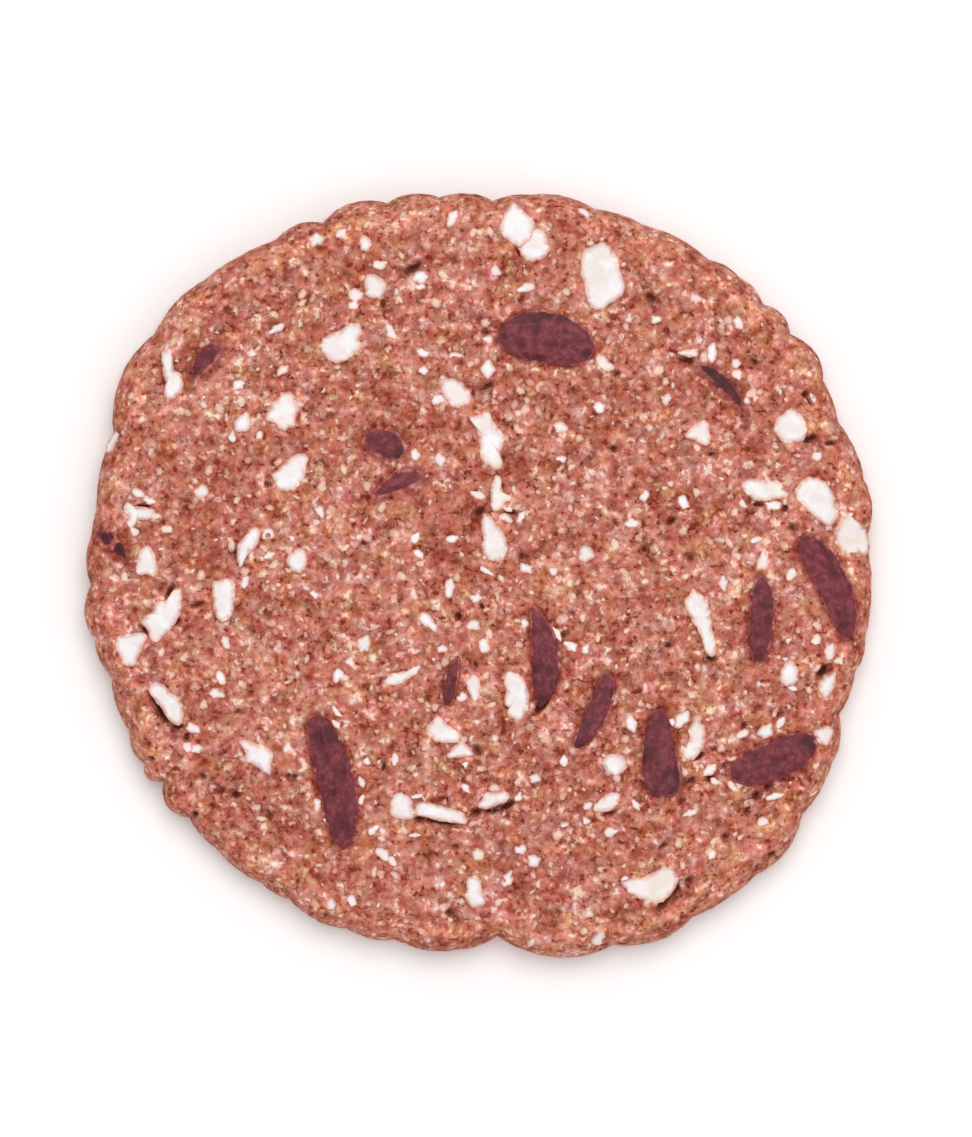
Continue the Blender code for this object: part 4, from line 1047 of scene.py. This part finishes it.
def raisinPiece(number, row, material):
    # a raisin: rings along its length by a superellipse, tapered, bent by a parabola, the upper half
    # pressed to a low crown as a power of its height, with wrinkles that are longer than wide
    look = raisinLook
    x, y, length, width, turn, bend, taper, point = row
    middle, axes = seat(x, y, length, width, turn)
    covered = number in filmed
    crown = look["filmedCrown"] if covered else look["crown"]
    steepness = look["filmedSteepness"] if covered else look["steepness"]
    reach = look["filmedReach"] if covered else look["crumbReach"]
    share = np.cos(np.pi * (np.arange(look["rings"]) + 0.5) / look["rings"])[:, None]
    angle = np.linspace(0, 2 * math.pi, look["around"], endpoint=False)[None, :]
    fullness = (1 - np.abs(share) ** bluntness(number, share)) ** point
    side, up = np.cos(angle) * fullness, np.sin(angle) * fullness
    depth = np.where(up > 0, crown * np.maximum(up, 0) ** steepness, look["belly"] * width * up)
    across = bend * (1 - 2 * share * share) + side * width / 2 * (1 + taper * share)
    ring = np.stack((share * length / 2 + 0 * up, across, depth), axis=-1)
    bites = valueNoise(ring * (1, 1, 0) + (x, y, 0), 0.9, 81 + number)
    bites += valueNoise(ring * (1, 1, 0) + (x, y, 0), 0.42, 101 + number)
    ring[..., 0] += look["nibble"] * bites * share ** 7
    ring[..., 1] += look["nibble"] * bites * np.cos(angle) ** 3
    stretched = ring * (1 / look["wrinkleStretch"], 1, 1) + (x, y, 0)
    folds = 1 - np.abs(valueNoise(stretched, look["wrinkleSize"], 41 + number)) * 2
    folds += 0.5 * valueNoise(stretched, look["wrinkleSize"] / 2, 61 + number)
    size = min(1, width / 3)
    ring[..., 2] += look["wrinkle"] * size * (folds - 0.6) * smoothStep(depth, 0, crown * 0.8)
    ends = np.array(((length / 2, -bend, 0.0), (-length / 2, -bend, 0.0)))
    points = middle + ring @ axes
    film, lean = look["films"].get(number, (0.0, 0.0))
    distance = raisinDistance(points[..., 0], points[..., 1], number)
    veil = np.where(up < 0, 1, smoothStep(distance, *reach)) + film + lean * share
    if number in look["bridges"]:
        veil = veil + np.exp(-(share / look["bridges"][number]) ** 2)
    # painted shadow in the pits: 1 at each listed place, fading out over its reach
    dark = np.zeros_like(veil)
    for darkX, darkY, spot in look["shadedPits"]:
        distance = np.hypot(points[..., 0] - darkX, points[..., 1] - darkY)
        dark = np.maximum(dark, 1 - smoothStep(distance, 0.3 * spot, spot))
    masks = {"veil": perPoint(veil[None], np.ones((1, 2))), "fold": perPoint(folds[None], np.zeros((1, 2))),
             "dark": perPoint(dark[None], np.zeros((1, 2)))}
    points, quads, triangles = closedRings(points[None], (middle + ends @ axes)[None])
    return makePiece(f"raisin{number + 1:02d}", points, quads, triangles, material, masks)


def raisinMaterial():
    # dark skin with a paler bloom in fine uneven spots, painted shade in the folds, painted shadow, nearly
    # black, in the pits, and the crumb's own colours, stained, where the film of dough lies over it and
    # along its edge
    look = raisinLook
    paint = Paint("raisinSkin")
    veil, fold, dark = paint.mask("veil"), paint.mask("fold"), paint.mask("dark")
    spots = paint.noise(0.7, 3, 0.65, seed=1, twist=0.3)
    colour = paint.mix(paint.range(spots, 0.40, 0.66), look["skin"], look["bloom"])
    # painted shade: darker down in the folds
    colour = paint.mix((1 - paint.range(fold, -0.3, 0.6)) * 0.6, colour, look["deep"])
    colour = paint.mix(paint.range(paint.noise(2.2, 2, seed=2), 0.50, 0.70) * 0.8, colour, look["deep"])
    # painted shadow: nearly black in the pits
    colour = paint.mix(dark * 0.75, colour, look["pitShadow"])
    tone, _ = crumbTone(paint)
    cover = paint.range(veil + (tone - 0.45) * 0.4 + (paint.noise(1.1, 3, seed=3) - 0.5) * 0.9, 0.5, 1.1)
    over = paint.mix(0.8, crumbColour(paint, tone), doughLook["stain"], "MULTIPLY")
    colour = paint.mix(cover, colour, over)
    rough = 0.42 + paint.noise(0.8) * 0.2 + cover * 0.2
    return paint.finish(Base_Color=colour, Roughness=rough, Specular_IOR_Level=0.25,
                        Normal=paint.bump(spots, 0.14, 0.8))


# Grains, crumbs and nut dust

grainLook = {
    # the cells' size, the share of them with a grain, the room to the rim, and the grain's own measures
    "oat": {
        "pitch": 1.5, "keep": 0.34, "inset": 1.2, "seed": 5, "length": (0.9, 2.0),
        "shape": (0.45, 0.85), "rise": (0.05, 0.09), "unevenness": 0.25, "smooth": False,
    },
    "crumb": {
        "pitch": 0.80, "keep": 0.62, "inset": 0.6, "seed": 6, "length": (0.4, 0.85),
        "shape": (0.55, 1.0), "rise": (0.02, 0.08), "unevenness": 0.2, "smooth": True,
    },
    "dust": {
        "pitch": 4.9, "keep": 0.85, "inset": 0.8, "seed": 8, "length": (0.5, 1.25),
        "shape": (0.45, 0.9), "rise": (0.06, 0.11), "unevenness": 0.3, "smooth": False,
    },
    "reach": 46,  # half the side of the square that the cells cover
    "room": 0.1,  # kept clear round nuts, chips, bits and raisins
    "around": 8,
    "variety": 0.65,  # by how much the faintest grain shows less than the clearest
    "oatPale": (0.88, 0.63, 0.54),
    "oatYellow": (0.87, 0.63, 0.45),
    "dustPink": (0.82, 0.64, 0.60),
    "dustWhite": (0.85, 0.78, 0.77),
}


def onPieces(x, y, room):
    # which places lie on a nut, a chip or a raisin, or closer to it than the room asked for
    hit = np.zeros(len(x), bool)
    for row in raisinRows + nutRows + allChips + bitRows:
        grown = row[:2] + (row[2] + 2 * room, row[3] + 2 * room) + row[4:]
        hit |= ovalDistance(x, y, grown) < 1
    return hit


def grainPiece(name, kind, material):
    # small rounded grains over the top: one in each cell of a square grid, moved within it by chance,
    # each of two rings with uneven corners that follow the crumb's surface, the inner one above it and
    # the outer one below, and two poles
    look = grainLook[kind]
    rng = np.random.default_rng(look["seed"])
    line = np.arange(-grainLook["reach"], grainLook["reach"], look["pitch"])
    x, y = (axis.ravel() + rng.random(axis.size) * look["pitch"] for axis in np.meshgrid(line, line))
    inset = rimRadius(np.arctan2(y, x)) - np.hypot(x, y)
    rimmed = look["keep"] * (0.35 + 0.65 * smoothStep(inset, *doughLook["smoothBand"]))
    kept = (rng.random(x.size) < rimmed) & (inset > look["inset"]) & ~onPieces(x, y, grainLook["room"])
    x, y = x[kept], y[kept]
    middle, facing, masks = topSurface(x, y)
    # no grains in the gaps, where shade is painted
    clear = masks["gap"] < 0.5
    x, y, middle, facing = x[clear], y[clear], middle[clear], facing[clear]
    count, around = len(x), grainLook["around"]
    low, high = look["length"]
    length = low + (high - low) * rng.random(count) ** 2
    width = length * rng.uniform(*look["shape"], count)
    rise = rng.uniform(*look["rise"], count) * (0.6 + 0.4 * length)
    turn = rng.uniform(0, math.pi, count)[:, None]
    heading = np.concatenate((np.cos(turn), np.sin(turn), 0 * turn), axis=1)
    along = heading - facing * (heading * facing).sum(axis=1, keepdims=True)
    along /= np.linalg.norm(along, axis=1, keepdims=True)
    across = np.cross(facing, along)
    angles = np.linspace(0, 2 * math.pi, around, endpoint=False)
    uneven = 1 + look["unevenness"] * rng.uniform(-1, 1, (count, 1, around))
    radii = uneven * np.array((0.5, 1.0))[:, None]
    forward = radii * np.cos(angles) * (length / 2)[:, None, None]
    sideways = radii * np.sin(angles) * (width / 2)[:, None, None]
    upward = np.array((0.85, -0.35))[:, None] * rise[:, None, None] + 0 * radii
    flat = middle[:, None, None] + (forward[..., None] * along[:, None, None]
                                    + sideways[..., None] * across[:, None, None])
    ground, up, _ = topSurface(flat[..., 0], flat[..., 1])
    rings = ground + upward[..., None] * up
    poles = middle[:, None] + facing[:, None] * (rise[:, None] * np.array((1.0, -1.6)))[..., None]
    points, quads, triangles = closedRings(rings, poles)
    tone = rng.random(count)
    tones = perPoint(tone[:, None, None] + 0 * rings[..., 0], np.repeat(tone[:, None], 2, axis=1))
    bare = perPoint(np.array((0.6, 0.0))[:, None] + 0 * rings[..., 0], np.tile((1.0, 0.0), (count, 1)))
    own = {"tone": tones, "bare": bare}
    return makePiece(name, points, quads, triangles, material, own, look["smooth"])


def grainMaterial(name, first, second):
    # crumb that turns to the grain's own colour, between the two given, from its edge to its middle
    look = grainLook
    paint = Paint(name)
    tone, bare = paint.mask("tone"), paint.mask("bare")
    under, relief = crumbTone(paint)
    clear = tone * look["variety"] + 1 - look["variety"]
    shown = paint.range(bare + (under - 0.45) * 0.5, 0.05, 0.95) * clear
    colour = paint.mix(paint.range(paint.noise(2.6, seed=11), 0.35, 0.65), look[first], look[second])
    colour = paint.mix(shown, crumbColour(paint, under), colour)
    return paint.finish(Base_Color=colour, Roughness=0.75, Specular_IOR_Level=0.15,
                        Normal=paint.bump(relief, 0.3, 1.0))


def crumbMaterial():
    paint = Paint("doughCrumb")
    tone, relief = crumbTone(paint)
    colour = crumbColour(paint, tone + (paint.mask("tone") - 0.5) * 0.15)
    return paint.finish(Base_Color=colour, Roughness=0.8, Specular_IOR_Level=0.15,
                        Normal=paint.bump(relief, 0.45, 1.0))


# The studio

studio = {
    "view": (0.834, 0.779, 5.3),  # the point that the photograph's middle shows, in millimetres
    "seen": 126.5,  # millimetres of the object's plane that the photograph's height shows
    "lens": 250.0,
    "sensor": 36.0,
    "clip": (0.01, 10),  # metres
    "floorSize": 3.0,  # metres
    "floor": ((0.96, 0.96, 0.96), (0.98, 0.98, 0.98)),
    "key": {"place": (0.04, 0.24, 0.78), "size": 0.6, "power": 3.4, "colour": (1.0, 0.99, 0.98)},
    "fill": {"place": (0.45, -0.35, 0.70), "size": 0.7, "power": 0.8, "colour": (1.0, 0.99, 1.0)},
    "sky": 0.62,
}


def floorPiece():
    # a plane that rises by nothing anywhere: a grid of four corners
    corners = np.array(((-1, -1, 0), (1, -1, 0), (1, 1, 0), (-1, 1, 0))) * studio["floorSize"] / 2 / mm
    paint = Paint("paleFloor")
    tone = paint.mix(paint.noise(400, 1) * 0.04, *studio["floor"])
    material = paint.finish(Base_Color=tone, Roughness=0.9, Specular_IOR_Level=0.2)
    return makePiece("floor", corners, np.array(((0, 1, 2, 3),)), np.zeros((0, 3)), material, smooth=False)


def addLight(name, look, target):
    light = bpy.data.lights.new(name, "AREA")
    light.shape = "DISK"
    light.size = look["size"]
    light.energy = look["power"]
    light.color = look["colour"]
    lamp = bpy.data.objects.new(name, light)
    lamp.location = look["place"]
    lamp.rotation_euler = (target - Vector(look["place"])).to_track_quat("-Z", "Y").to_euler()
    bpy.context.scene.collection.objects.link(lamp)


def setStudio():
    scene = bpy.context.scene
    target = Vector(studio["view"]) * mm
    camera = bpy.data.objects.new("camera", bpy.data.cameras.new("camera"))
    camera.data.lens = studio["lens"]
    camera.data.sensor_width = studio["sensor"]
    camera.location = target + Vector((0, 0, studio["seen"] * mm * studio["lens"] / studio["sensor"]))
    camera.data.clip_start, camera.data.clip_end = studio["clip"]
    scene.collection.objects.link(camera)
    scene.camera = camera
    addLight("keyLight", studio["key"], target)
    addLight("fillLight", studio["fill"], target)
    scene.world = bpy.data.worlds.new("studioSky")
    scene.world.use_nodes = True
    sky = scene.world.node_tree.nodes["Background"]
    sky.inputs["Color"].default_value = (1, 1, 1, 1)
    sky.inputs["Strength"].default_value = studio["sky"]
    scene.view_settings.view_transform = "Standard"
    scene.view_settings.look = "None"


setStudio()
floor = floorPiece()
print("studio set")

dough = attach(doughPiece(doughMaterial()), "root")
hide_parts("cookie")
nutSkin = nutMaterial()
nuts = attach(nutPieces(nutSkin), "root")
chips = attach(nutChips(nutSkin), "root")
print("dough and nuts done")

raisinSkin = raisinMaterial()
for number, row in enumerate(raisinRows):
    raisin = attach(raisinPiece(number, row, raisinSkin), "root")
    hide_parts(f"raisin_{number + 1:02d}")
print("raisins done")

oatSkin = grainMaterial("oatGrain", "oatYellow", "oatPale")
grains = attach(grainPiece("oatGrains", "oat", oatSkin), "root")
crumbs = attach(grainPiece("doughCrumbs", "crumb", crumbMaterial()), "root")
dustSkin = grainMaterial("nutDust", "dustPink", "dustWhite")
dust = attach(grainPiece("nutDust", "dust", dustSkin), "root")
print("grains done")
